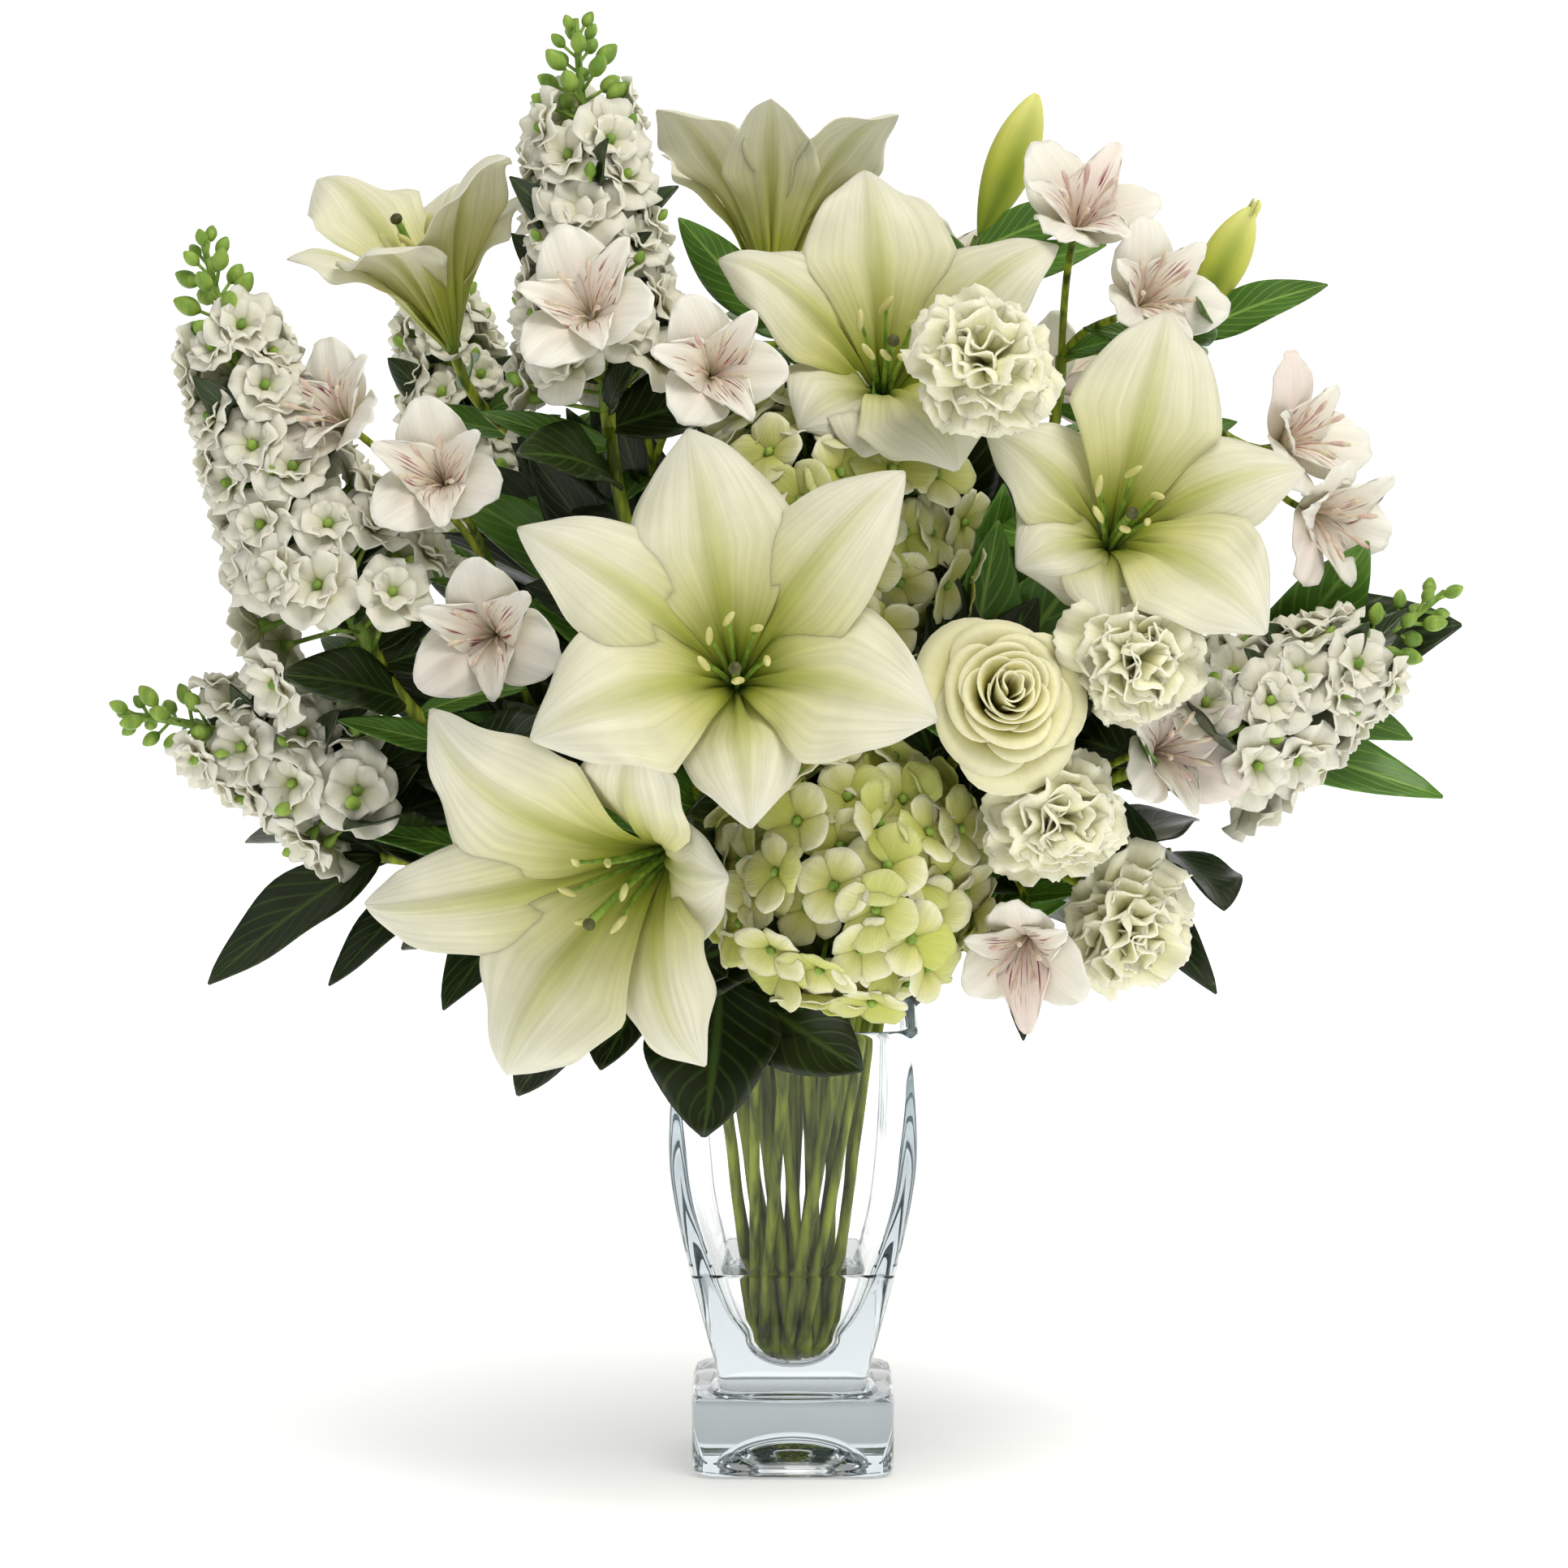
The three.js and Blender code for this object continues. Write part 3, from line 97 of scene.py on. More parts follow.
for name, place, width, power in (
        ("key_lamp", (600, -900, 2000), 1.0, 26.0),
        ("fill_lamp", (-1300, -900, 900), 1.4, 0.5),
        ("back_lamp", (300, 1300, 1500), 1.2, 2.5)):
    lamp = bpy.data.objects.new(name, bpy.data.lights.new(name, "AREA"))
    lamp.data.size, lamp.data.energy, lamp.data.color = width, power, (1.0, 0.97, 0.9)
    scene.collection.objects.link(lamp)
    aim(lamp, place, (0, 0, 260))

# %% [markdown]
# ## Two kinds of surface
# Everything in a bouquet is either a thin blade, such as a petal or a leaf, or a round body drawn
# along a line, such as a stem, a stamen or a bud. Both are grids of points with two parameters, so
# each is one function over whole arrays. A blade becomes a solid with a skin on either side of its
# middle surface. Each point also keeps where it lies on its blade, and the materials read that.

# %% Vectors and seeded draws
UP = np.array([0.0, 0.0, 1.0])
GOLDEN_ANGLE = np.radians(137.5)


def unit(v):
    """Vectors divided by their lengths."""
    return v / np.maximum(np.linalg.norm(v, axis=-1, keepdims=True), 1e-9)


def draw(i, j=0.0):
    """Repeatable draws from 0 to 1: the fraction of sin(127.1 i + 311.7 j) times 43758.5453."""
    value = np.sin(np.asarray(i) * 127.1 + np.asarray(j) * 311.7) * 43758.5453
    return value - np.floor(value)


def mix(a, b, t):
    """a at t = 0, b at t = 1, straight between."""
    return a + (b - a) * t


def view_of(facing):
    """Three square directions for blooms: front, right and up, one below the other.
    Up is the world's up less its part along front, and right is up cross front."""
    front = unit(np.asarray(facing, float))
    up = unit(UP - front * front[..., 2:3])
    return np.stack([front, np.cross(up, front), up], axis=-2)


print("right of a bloom that faces the viewer:", view_of((0, -1, 0))[1])


# %% Blades
def grain_of(shape, seeds, mark):
    """Where each point of a blade lies: along and across it from 0 to 1, its seed and its mark."""
    k, rows, cols = shape
    grain = np.empty((k, rows, cols, 4))
    grain[..., 0] = np.linspace(0, 1, rows)[:, None]
    grain[..., 1] = np.linspace(0, 1, cols)
    grain[..., 2] = np.asarray(seeds, float).reshape(-1, 1, 1)
    grain[..., 3] = np.asarray(mark, float).reshape(-1, 1, 1)
    return grain


def blades(middle, thickness, seeds=0.0, mark=0.0, finish=0):
    """Closed blades over grids of middle points, [..., row, column, xyz]. The normal is the step
    across cross the step along; the skins lie half the thickness out on either side, and a strip
    of faces joins them all round the edge."""
    m = middle.reshape(-1, *middle.shape[-3:])
    k, rows, cols = m.shape[:3]
    normal = np.cross(np.gradient(m, axis=2), np.gradient(m, axis=1))
    size = np.linalg.norm(normal, axis=-1, keepdims=True)
    normal = np.where(size > 1e-7, normal / np.maximum(size, 1e-9), unit(normal.mean((1, 2)))[:, None, None])
    half = 0.5 * np.broadcast_to(thickness, (k, rows, cols))[..., None]
    points = np.stack([m + normal * half, m - normal * half], axis=1)
    index = np.arange(rows * cols).reshape(rows, cols)
    back = index + rows * cols
    face = [index[:-1, :-1], index[:-1, 1:], index[1:, 1:], index[1:, :-1]]
    rear = [back[:-1, :-1], back[1:, :-1], back[1:, 1:], back[:-1, 1:]]
    rim = np.concatenate([index[0, :-1], index[:-1, -1], index[-1, :0:-1], index[:0:-1, 0]])
    ahead = np.roll(rim, -1)
    strip = np.stack([ahead, rim, rim + rows * cols, ahead + rows * cols], axis=-1)
    quads = np.concatenate([np.stack(face, -1).reshape(-1, 4), np.stack(rear, -1).reshape(-1, 4), strip])
    shift = (np.arange(k) * 2 * rows * cols)[:, None, None]
    grain = grain_of((k, rows, cols), seeds, mark)
    return {
        "points": points.reshape(-1, 3), "grain": np.stack([grain, grain], axis=1).reshape(-1, 4),
        "quads": (quads + shift).reshape(-1, 4), "corners": np.zeros((0, 3), int), "finish": finish,
    }


def tubes(path, radius, sides=10, seeds=0.0, mark=0.0, finish=0):
    """Round bodies along lines of points, [..., point, xyz]: a ring of points at each place, at the
    radius that is given for it, square to the line. Both ends close on the line itself."""
    p = path.reshape(-1, *path.shape[-2:])
    k, count = p.shape[:2]
    tangent = unit(np.gradient(p, axis=1))
    start = np.eye(3)[np.argmin(np.abs(tangent).max(axis=1), axis=1)][:, None]
    u = unit(start - tangent * (start * tangent).sum(-1, keepdims=True))
    v = np.cross(tangent, u)
    turn = np.linspace(0, 2 * np.pi, sides, endpoint=False)[:, None]
    size = np.broadcast_to(radius, (k, count))[..., None, None]
    rings = p[:, :, None] + size * (u[:, :, None] * np.cos(turn) + v[:, :, None] * np.sin(turn))
    index = np.arange(count * sides).reshape(count, sides)
    after = np.roll(index, -1, axis=1)
    quads = np.stack([index[:-1], after[:-1], after[1:], index[1:]], -1).reshape(-1, 4)
    poles = [np.full(sides, count * sides), np.full(sides, count * sides + 1)]
    corners = np.concatenate([np.stack([poles[0], after[0], index[0]], -1),
                              np.stack([poles[1], index[-1], after[-1]], -1)])
    points = np.concatenate([rings.reshape(k, -1, 3), p[:, :1], p[:, -1:]], axis=1)
    grain = grain_of((k, count, sides), seeds, mark).reshape(k, -1, 4)
    grain = np.concatenate([grain, grain[:, :1], grain[:, -1:]], axis=1)
    shift = (np.arange(k) * (count * sides + 2))[:, None, None]
    return {
        "points": points.reshape(-1, 3), "grain": grain.reshape(-1, 4),
        "quads": (quads + shift).reshape(-1, 4), "corners": (corners + shift).reshape(-1, 3),
        "finish": finish,
    }


# %% Pieces
def piece(name, parts, finishes, nodes):
    """One object from several parts: their points in a row, each part's faces counted on from the
    points before it. It stands for its nodes of the frame and rides with the vase."""
    starts = np.cumsum([0] + [len(p["points"]) for p in parts])
    quads = np.concatenate([p["quads"] + at for p, at in zip(parts, starts)])
    corners = np.concatenate([p["corners"] + at for p, at in zip(parts, starts)])
    mesh = bpy.data.meshes.new(name)
    mesh.vertices.add(starts[-1])
    mesh.vertices.foreach_set("co", (np.concatenate([p["points"] for p in parts]) * MM).ravel())
    mesh.loops.add(quads.size + corners.size)
    mesh.loops.foreach_set("vertex_index", np.concatenate([quads.ravel(), corners.ravel()]))
    mesh.polygons.add(len(quads) + len(corners))
    sizes = np.concatenate([np.full(len(quads), 4), np.full(len(corners), 3)])
    mesh.polygons.foreach_set("loop_start", np.cumsum(sizes) - sizes)
    kinds = [np.full(len(p[key]), p["finish"]) for key in ("quads", "corners") for p in parts]
    mesh.polygons.foreach_set("material_index", np.concatenate(kinds))
    mesh.polygons.foreach_set("use_smooth", np.ones(len(sizes), bool))
    grain = mesh.attributes.new("grain", "FLOAT_COLOR", "POINT")
    grain.data.foreach_set("color", np.concatenate([p["grain"] for p in parts]).ravel())
    mesh.update(calc_edges=True)
    obj = bpy.data.objects.new(name, mesh)
    scene.collection.objects.link(obj)
    for finish in finishes:
        mesh.materials.append(finish)
    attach(obj, "root")
    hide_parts(*nodes)
    print(name, len(quads) * 2 + len(corners), "triangles")


# %% [markdown]
# ## Finishes
# Petals are thin, matt and a little translucent: their colour runs from a green root through the
# body to the tip, with a green rib and fine veins along them. Leaves and stems have a waxy skin,
# which gives a soft gloss. Each finish is one small tree of nodes that reads the grain of the blade
# for what follows it, and Object coordinates for mottling.

# %% Node helper and colours
def linear(code):
    """An sRGB hex colour as linear light: c / 12.92 when dark, ((c + 0.055) / 1.055) ^ 2.4 above."""
    c = np.array([int(code[i:i + 2], 16) / 255 for i in (1, 3, 5)])
    return (*np.where(c <= 0.04045, c / 12.92, ((c + 0.055) / 1.055) ** 2.4), 1.0)


def add(tree, kind, inputs, **settings):
    """Adds a node: settings are its own choices, and inputs maps a socket's name or number to a
    value or to the output that feeds it."""
    node = tree.nodes.new(kind)
    for key, value in settings.items():
        setattr(node, key, value)
    for key, value in inputs.items():
        if isinstance(value, bpy.types.NodeSocket):
            tree.links.new(value, node.inputs[key])
        else:
            node.inputs[key].default_value = value
    return node


def blank(name, **sockets):
    """A new material's tree and its Principled shader, with values set on the shader's sockets."""
    material = bpy.data.materials.new(name)
    material.use_nodes = True
    shader = material.node_tree.nodes["Principled BSDF"]
    for key, value in sockets.items():
        shader.inputs[key.replace("_", " ")].default_value = value
    return material, material.node_tree, shader


def blended(tree, factor, a, b, how="MIX"):
    """The colour output of a mix of two colours."""
    node = add(tree, "ShaderNodeMix", {0: factor, 6: a, 7: b}, data_type="RGBA", blend_type=how)
    return node.outputs[2]


def sum_of(tree, how, a, b, limited=False):
    """The output of a sum or another piece of arithmetic on two numbers."""
    return add(tree, "ShaderNodeMath", {0: a, 1: b}, operation=how, use_clamp=limited).outputs[0]


print("lily white in linear light", [round(x, 3) for x in linear("#f6f6ee")])


# %% Petal finish
def petal(name, ramp, rib, rib_strength=0.6, rib_width=0.12, flush=None, flush_share=0.0,
          veins=0.25, roughness=0.5, streaks=None):
    """A petal's finish. ramp holds (place along, colour) from root to tip. The rib's colour fades
    out from the middle line to rib_width and towards the tip. flush tints some blades more than
    others, by their seeds. Veins are noise drawn out along the blade."""
    material, tree, shader = blank(name, Roughness=roughness, Subsurface_Weight=0.4, Subsurface_Scale=0.003,
                                   Subsurface_Radius=(1.0, 1.0, 0.8), Specular_IOR_Level=0.3)
    grain = add(tree, "ShaderNodeAttribute", {}, attribute_name="grain")
    parts = add(tree, "ShaderNodeSeparateXYZ", {0: grain.outputs["Vector"]})
    t, s, seed = parts.outputs
    colours = add(tree, "ShaderNodeValToRGB", {0: t})
    elements = colours.color_ramp.elements
    for _ in ramp[2:]:
        elements.new(0.5)
    for element, (place, code) in zip(elements, ramp):
        element.position, element.color = place, linear(code)
    colour = colours.outputs["Color"]
    if flush:
        share = add(tree, "ShaderNodeMapRange", {0: seed, 1: 1 - flush_share, 2: 1.0, 3: 0.0, 4: 0.85})
        colour = blended(tree, share.outputs[0], colour, linear(flush))
    middle = sum_of(tree, "ABSOLUTE", sum_of(tree, "SUBTRACT", s, 0.5), 0.0)
    ribbed = add(tree, "ShaderNodeMapRange", {0: middle, 1: 0.0, 2: rib_width, 3: rib_strength, 4: 0.0},
                 interpolation_type="SMOOTHSTEP")
    fading = add(tree, "ShaderNodeMapRange", {0: t, 1: 0.35, 2: 0.95, 3: 1.0, 4: 0.15})
    rib_share = sum_of(tree, "MULTIPLY", ribbed.outputs[0], fading.outputs[0])
    colour = blended(tree, rib_share, colour, linear(rib))
    lengthwise = add(tree, "ShaderNodeCombineXYZ", {
        0: sum_of(tree, "MULTIPLY", s, 26.0), 1: sum_of(tree, "MULTIPLY", t, 2.2),
        2: sum_of(tree, "MULTIPLY", seed, 40.0)})
    vein = add(tree, "ShaderNodeTexNoise", {"Vector": lengthwise.outputs[0], "Scale": 1.0, "Detail": 2.0})
    if streaks:
        dashes = add(tree, "ShaderNodeMapRange", {0: vein.outputs[0], 1: 0.6, 2: 0.64})
        inside = add(tree, "ShaderNodeMapRange", {0: t, 1: 0.85, 2: 0.6, 3: 0.0, 4: 1.0})
        marked = sum_of(tree, "MULTIPLY", grain.outputs["Alpha"], inside.outputs[0])
        colour = blended(tree, sum_of(tree, "MULTIPLY", dashes.outputs[0], marked), colour, linear(streaks))
    shade = add(tree, "ShaderNodeMapRange", {0: vein.outputs[0], 1: 0.3, 2: 0.7, 3: 1 - 0.3 * veins, 4: 1.0})
    # Mottling about 11 mm wide keeps broad petals from looking cut out of paper.
    place = add(tree, "ShaderNodeTexCoord", {})
    mottle = add(tree, "ShaderNodeTexNoise", {"Vector": place.outputs["Object"], "Scale": 90.0})
    dim = add(tree, "ShaderNodeMapRange", {0: mottle.outputs[0], 1: 0.3, 2: 0.7, 3: 0.94, 4: 1.0})
    factor = sum_of(tree, "MULTIPLY", shade.outputs[0], dim.outputs[0])
    bright = add(tree, "ShaderNodeHueSaturation", {"Value": factor, "Color": colour})
    tree.links.new(bright.outputs[0], shader.inputs["Base Color"])
    bump = add(tree, "ShaderNodeBump", {"Height": vein.outputs[0], "Strength": veins, "Distance": 0.0006})
    tree.links.new(bump.outputs[0], shader.inputs["Normal"])
    return material


# Waxy white lily petals with a green throat: the eye is led down the ribs into each bloom.
LILY_PETAL = petal(
    "lily_petal",
    [(0.0, "#7f9628"), (0.25, "#b3b94a"), (0.42, "#d2d08c"), (0.64, "#e2dfbe"), (1.0, "#eae7d2")],
    "#a9b04a", 0.85, 0.16, veins=0.5)
# Closed buds are greener, with deep seams, so they read as firm and unopened.
BUD_PETAL = petal(
    "lily_bud_petal", [(0.0, "#8fa82c"), (0.5, "#c3c94e"), (1.0, "#dcdc84")], "#728c1e", 0.85, 0.42)
# Powdery and matt: the spikes look soft beside the smooth lilies.
STOCK_PETAL = petal(
    "stock_petal", [(0.0, "#959f48"), (0.3, "#cfcea0"), (0.55, "#e2dfc6"), (1.0, "#eae7d6")],
    "#dcdcc0", 0.3, veins=0.2, roughness=0.6)
# A breath of pink and dark red streaks, the only warm marks in the bouquet.
ALSTROEMERIA_PETAL = petal(
    "alstroemeria_petal", [(0.0, "#b5bd68"), (0.3, "#ece2cc"), (0.7, "#f0ebdb"), (1.0, "#f3f0e2")],
    "#e6c2c0", 0.28, 0.22, streaks="#8a3f52", flush="#edd8d0", flush_share=0.18)
# Dry, papery cream, so each crumpled edge catches its own light.
CARNATION_PETAL = petal(
    "carnation_petal", [(0.0, "#d2d288"), (0.5, "#ecebb8"), (1.0, "#f6f3d8")],
    "#e9e6b8", 0.2, veins=0.35, roughness=0.65)
# Lime green with greener florets here and there, which gives the head its depth.
HYDRANGEA_PETAL = petal(
    "hydrangea_petal", [(0.0, "#98a43c"), (0.35, "#d2d079"), (0.8, "#e9e7b2"), (1.0, "#f1efcd")],
    "#bfc46a", 0.4, 0.25, flush="#b9c250", flush_share=0.5, veins=0.45)
# Butter yellow that deepens towards the heart of the rose.
ROSE_PETAL = petal(
    "rose_petal", [(0.0, "#b0b54a"), (0.55, "#e2db80"), (1.0, "#f3eec4")], "#dcd684", 0.3, veins=0.2)


# %% Leaf and stem finishes
def leaf(name, blade, rib, gloss):
    """A leaf's waxy skin: the blade's colour, mottled in patches about 17 mm wide, with a paler rib
    and side veins that run out from it at a slant: a wave over along less across."""
    material, tree, shader = blank(name, Roughness=gloss, Specular_IOR_Level=0.38, Coat_Weight=0.06)
    grain = add(tree, "ShaderNodeAttribute", {}, attribute_name="grain")
    t, s, seed = add(tree, "ShaderNodeSeparateXYZ", {0: grain.outputs["Vector"]}).outputs
    middle = sum_of(tree, "ABSOLUTE", sum_of(tree, "SUBTRACT", s, 0.5), 0.0)
    behind = sum_of(tree, "MULTIPLY", middle, 0.7)
    slant = add(tree, "ShaderNodeCombineXYZ", {0: sum_of(tree, "SUBTRACT", t, behind)})
    veins = add(tree, "ShaderNodeTexWave", {"Vector": slant.outputs[0], "Scale": 2.6, "Distortion": 0.4})
    fine = add(tree, "ShaderNodeMapRange", {0: veins.outputs["Fac"], 1: 0.82, 2: 1.0, 3: 0.0, 4: 0.4})
    ribbed = add(tree, "ShaderNodeMapRange", {0: middle, 1: 0.015, 2: 0.05, 3: 0.8, 4: 0.0})
    place = add(tree, "ShaderNodeTexCoord", {})
    mottle = add(tree, "ShaderNodeTexNoise",
                 {"Vector": place.outputs["Object"], "Scale": 60.0, "Detail": 3.0})
    vary = sum_of(tree, "MULTIPLY", mottle.outputs[0], sum_of(tree, "ADD", seed, 0.5))
    value = add(tree, "ShaderNodeMapRange", {0: vary, 1: 0.2, 2: 0.9, 3: 0.6, 4: 1.45})
    green = add(tree, "ShaderNodeHueSaturation", {"Value": value.outputs[0], "Color": linear(blade)})
    lines = sum_of(tree, "MAXIMUM", fine.outputs[0], ribbed.outputs[0])
    tree.links.new(blended(tree, lines, green.outputs[0], linear(rib)), shader.inputs["Base Color"])
    bump = add(tree, "ShaderNodeBump", {"Height": lines, "Strength": 0.5, "Distance": 0.0005})
    tree.links.new(bump.outputs[0], shader.inputs["Normal"])
    return material


def stem(name, young, old):
    """A stem's skin: two colours, mixed by noise that is drawn out along the stem, with streaks
    about 4 mm wide and 33 mm long."""
    material, tree, shader = blank(name, Roughness=0.45, Specular_IOR_Level=0.3)
    place = add(tree, "ShaderNodeTexCoord", {})
    drawn = add(tree, "ShaderNodeMapping", {"Vector": place.outputs["Object"], "Scale": (260.0, 260.0, 30.0)})
    noise = add(tree, "ShaderNodeTexNoise", {"Vector": drawn.outputs[0], "Scale": 1.0, "Detail": 3.0})
    share = add(tree, "ShaderNodeMapRange", {0: noise.outputs[0], 1: 0.35, 2: 0.65})
    tree.links.new(blended(tree, share.outputs[0], linear(young), linear(old)), shader.inputs["Base Color"])
    bump = add(tree, "ShaderNodeBump", {"Height": noise.outputs[0], "Strength": 0.2, "Distance": 0.0004})
    tree.links.new(bump.outputs[0], shader.inputs["Normal"])
    return material


DARK_LEAF = leaf("dark_waxy_leaf", "#1e2b0e", "#465f26", 0.36)  # the depth between the blooms
FRESH_LEAF = leaf("fresh_leaf", "#4f7a26", "#8fb352", 0.42)     # a livelier green next to them
GREEN_STEM = stem("green_stem", "#b3c13a", "#40560a")         # streaks tell stem from stem in the glass
BUD_GREEN = stem("green_bud", "#94b04a", "#678a33")           # young and fresh at every tip and eye
# The hydrangeas' dark core colour is painted shade between their florets, as well as their stalks.
STALKS_AND_SHADE = stem("stalks_and_painted_shade", "#4d6424", "#2c3c18")  # shade behind the hydrangeas' florets
POLLEN = stem("pale_anther", "#dcd99a", "#c3bd72")            # dull yellow dust that catches little light
PALE_STALK = stem("pale_stalk", "#dcd3b4", "#c8a3a0")         # fine pinkish lines in the small funnels
STIGMA = stem("dark_stigma", "#3c3a22", "#55592a")            # the dark point in the middle of a lily
print(len(bpy.data.materials), "finishes so far")

# %% [markdown]
# ## Vase and water
# The vase is one piece of clear pressed glass. Its sections are squares with round corners: points
# of a superellipse, whose half width over (|cos|^n + |sin|^n)^(1/n) tends to a square as n grows.
# The profile starts in the shallow round hollow under the foot, which shows through the glass as
# arcs, and runs up the outside, over the rim and down the cavity. The water reaches a fifth of a
# millimetre into the wall, so light passes from one to the other without a film of air.

# %% Profile
def smooth(knots, count):
    """Points on a Catmull-Rom curve through the knots: in each span, half of 2 p1 + (p2 - p0) u +
    (2 p0 - 5 p1 + 4 p2 - p3) u^2 + (3 p1 - p0 - 3 p2 + p3) u^3, where u runs from 0 to 1."""
    p = np.asarray(knots, float)
    p = np.concatenate([[2 * p[0] - p[1]], p, [2 * p[-1] - p[-2]]])
    place = np.linspace(0, len(knots) - 1, count)
    i = np.minimum(place.astype(int), len(knots) - 2)
    u = (place - i)[:, None]
    a, b, c, d = p[i], p[i + 1], p[i + 2], p[i + 3]
    square, cube = 2 * a - 5 * b + 4 * c - d, 3 * b - a - 3 * c + d
    return 0.5 * (2 * b + (c - a) * u + square * u ** 2 + cube * u ** 3)


def arc(centre, radius, start, end, count=7):
    """Points of a circle in the profile, between two angles in degrees."""
    a = np.radians(np.linspace(start, end, count))[:, None]
    return np.array(centre) + radius * np.hstack([np.cos(a), np.sin(a)])


FOOT_HALF, FOOT_HEIGHT, FOOT_ROUND = 37.5, 30.0, 3.0
HOLLOW_RADIUS, HOLLOW_HEIGHT = 27.0, 11.0
WATER_LEVEL, CAVITY_BOTTOM, BOWL_RADIUS, BOWL_DEPTH = 76.0, 39.0, 17.5, 12.0
RIM_MIDDLE, RIM_ROUND = (43.85, 165.6), 2.35
OUTSIDE = smooth([(27.3, 33.6), (35.4, 64.5), (45.3, 107), (46.8, 131), (46.2, 165.5)], 40)
INSIDE = smooth([(41.5, 165.5), (40.3, 130), (36.5, 100), (25.5, 64.5), (17.5, 51)], 40)
angle = np.linspace(0, np.pi / 2, 14)[1:, None]
BOWL = np.hstack([BOWL_RADIUS * np.cos(angle), CAVITY_BOTTOM + BOWL_DEPTH * (1 - np.sin(angle))])
angle = np.linspace(0.02, np.pi / 2, 14)[:, None]
HOLLOW = np.hstack([HOLLOW_RADIUS * np.sin(angle), HOLLOW_HEIGHT * np.cos(angle)])
HOLLOW = np.concatenate([HOLLOW, [(HOLLOW_RADIUS + 1, 0)]])
foot = np.concatenate([arc((FOOT_HALF - FOOT_ROUND, FOOT_ROUND), FOOT_ROUND, -90, 0),
                       arc((FOOT_HALF - FOOT_ROUND, FOOT_HEIGHT - FOOT_ROUND), FOOT_ROUND, 0, 90),
                       [(30.5, 30.2), (28.3, 31.3)]])
rim = arc(RIM_MIDDLE, RIM_ROUND, 0, 180, 11)
print("cavity", round(2 * INSIDE[0, 0]), "mm wide at the rim")
print("wall", round(OUTSIDE[20, 0] - INSIDE[20, 0], 1), "mm thick half way up")


# %% Squared solids of revolution
def squared(name, rows, powers, finishes, node, sides=144):
    """A closed surface whose section at each height of the profile is a superellipse, with the
    exponent that is given for that height."""
    turn = np.linspace(0, 2 * np.pi, sides, endpoint=False)
    n = np.asarray(powers, float)[:, None]
    reach = (np.abs(np.cos(turn)) ** n + np.abs(np.sin(turn)) ** n) ** (-1 / n)
    x, y = rows[:, :1] * reach * np.cos(turn), rows[:, :1] * reach * np.sin(turn)
    rings = np.stack([x, y, np.broadcast_to(rows[:, 1:], x.shape)], -1)
    index = np.arange(len(rows) * sides).reshape(len(rows), sides)
    after = np.roll(index, -1, axis=1)
    ends = np.array([[0, 0, rows[0, 1]], [0, 0, rows[-1, 1]]])
    low, high = index.size, index.size + 1
    corners = np.concatenate([np.stack([np.full(sides, low), after[0], index[0]], -1),
                              np.stack([np.full(sides, high), index[-1], after[-1]], -1)])
    part = {"points": np.concatenate([rings.reshape(-1, 3), ends]), "finish": 0, "corners": corners,
            "grain": np.zeros((index.size + 2, 4)),
            "quads": np.stack([index[:-1], after[:-1], after[1:], index[1:]], -1).reshape(-1, 4)}
    piece(name, [part], finishes, [node])


def clear(name, ior, ripple, size):
    """A clear solid or liquid: light passes through, bent by the IOR. Slight long waves of the
    surface, as wide as size in millimetres, bend the reflections a little. Its skin mirrors a third
    of what the IOR asks for, as under the broad soft light of a studio, so what stands inside shows."""
    material, tree, shader = blank(name, Base_Color=linear("#ffffff"), Roughness=0.0, IOR=ior,
                                   Transmission_Weight=1.0, Specular_Tint=(0.35, 0.35, 0.35, 1))
    place = add(tree, "ShaderNodeTexCoord", {})
    waves = add(tree, "ShaderNodeTexNoise",
                {"Vector": place.outputs["Object"], "Scale": 1000.0 / size, "Detail": 0.0})
    bump = add(tree, "ShaderNodeBump", {"Height": waves.outputs[0], "Strength": ripple, "Distance": 0.001})
    tree.links.new(bump.outputs[0], shader.inputs["Normal"])
    return material


GLASS = clear("clear_pressed_glass", 1.5, 0.12, 14.0)
WATER = clear("still_water", 1.33, 0.02, 20.0)
# Glass swallows a little red light on its way, so the thick edges and the foot look blue-grey.
depth = add(GLASS.node_tree, "ShaderNodeVolumeAbsorption", {"Color": (0.3, 0.42, 0.48, 1), "Density": 10.0})
GLASS.node_tree.links.new(depth.outputs[0], GLASS.node_tree.nodes["Material Output"].inputs["Volume"])
ROUND, FOOT_POWER, OUTSIDE_POWER, INSIDE_POWER, BOWL_POWER = 2.0, 9.0, 10.0, 7.0, 2.5
cavity = np.concatenate([INSIDE, BOWL[:-1]])
cavity_powers = np.append(np.full(len(INSIDE), INSIDE_POWER),
                          np.linspace(INSIDE_POWER, BOWL_POWER, len(BOWL) - 1))
vase_rows = np.concatenate([HOLLOW, foot, OUTSIDE, rim[1:-1], cavity])
vase_powers = np.concatenate([
    np.full(len(HOLLOW), ROUND), np.full(len(foot), FOOT_POWER), np.full(len(OUTSIDE), OUTSIDE_POWER),
    np.linspace(OUTSIDE_POWER, INSIDE_POWER, len(rim) - 2), cavity_powers])
squared("glass_vase", vase_rows, vase_powers, [GLASS], "vase")
INTO_WALL = 0.2
wet = cavity[:, 1] < WATER_LEVEL
wall = cavity[wet][::-1] + [INTO_WALL, -INTO_WALL]
level = [(wall[-1, 0] + x, WATER_LEVEL) for x in (0.3, -1.5)] + [(0.5, WATER_LEVEL)]
water_powers = np.append(cavity_powers[wet][::-1], np.full(3, INSIDE_POWER))
squared("clear_water", np.concatenate([wall, level]), water_powers, [WATER], "water")

# %% [markdown]
# ## Stems
# The stems stand in a bundle that is tightest near its foot and turns as it rises, as in a
# hand-tied bunch. Its outer stems turn one way and those inside them the other way, so they cross.
# Above the vase's mouth each one bends over to its bloom on a smooth curve, and reaches it along
# the bloom's own axis.

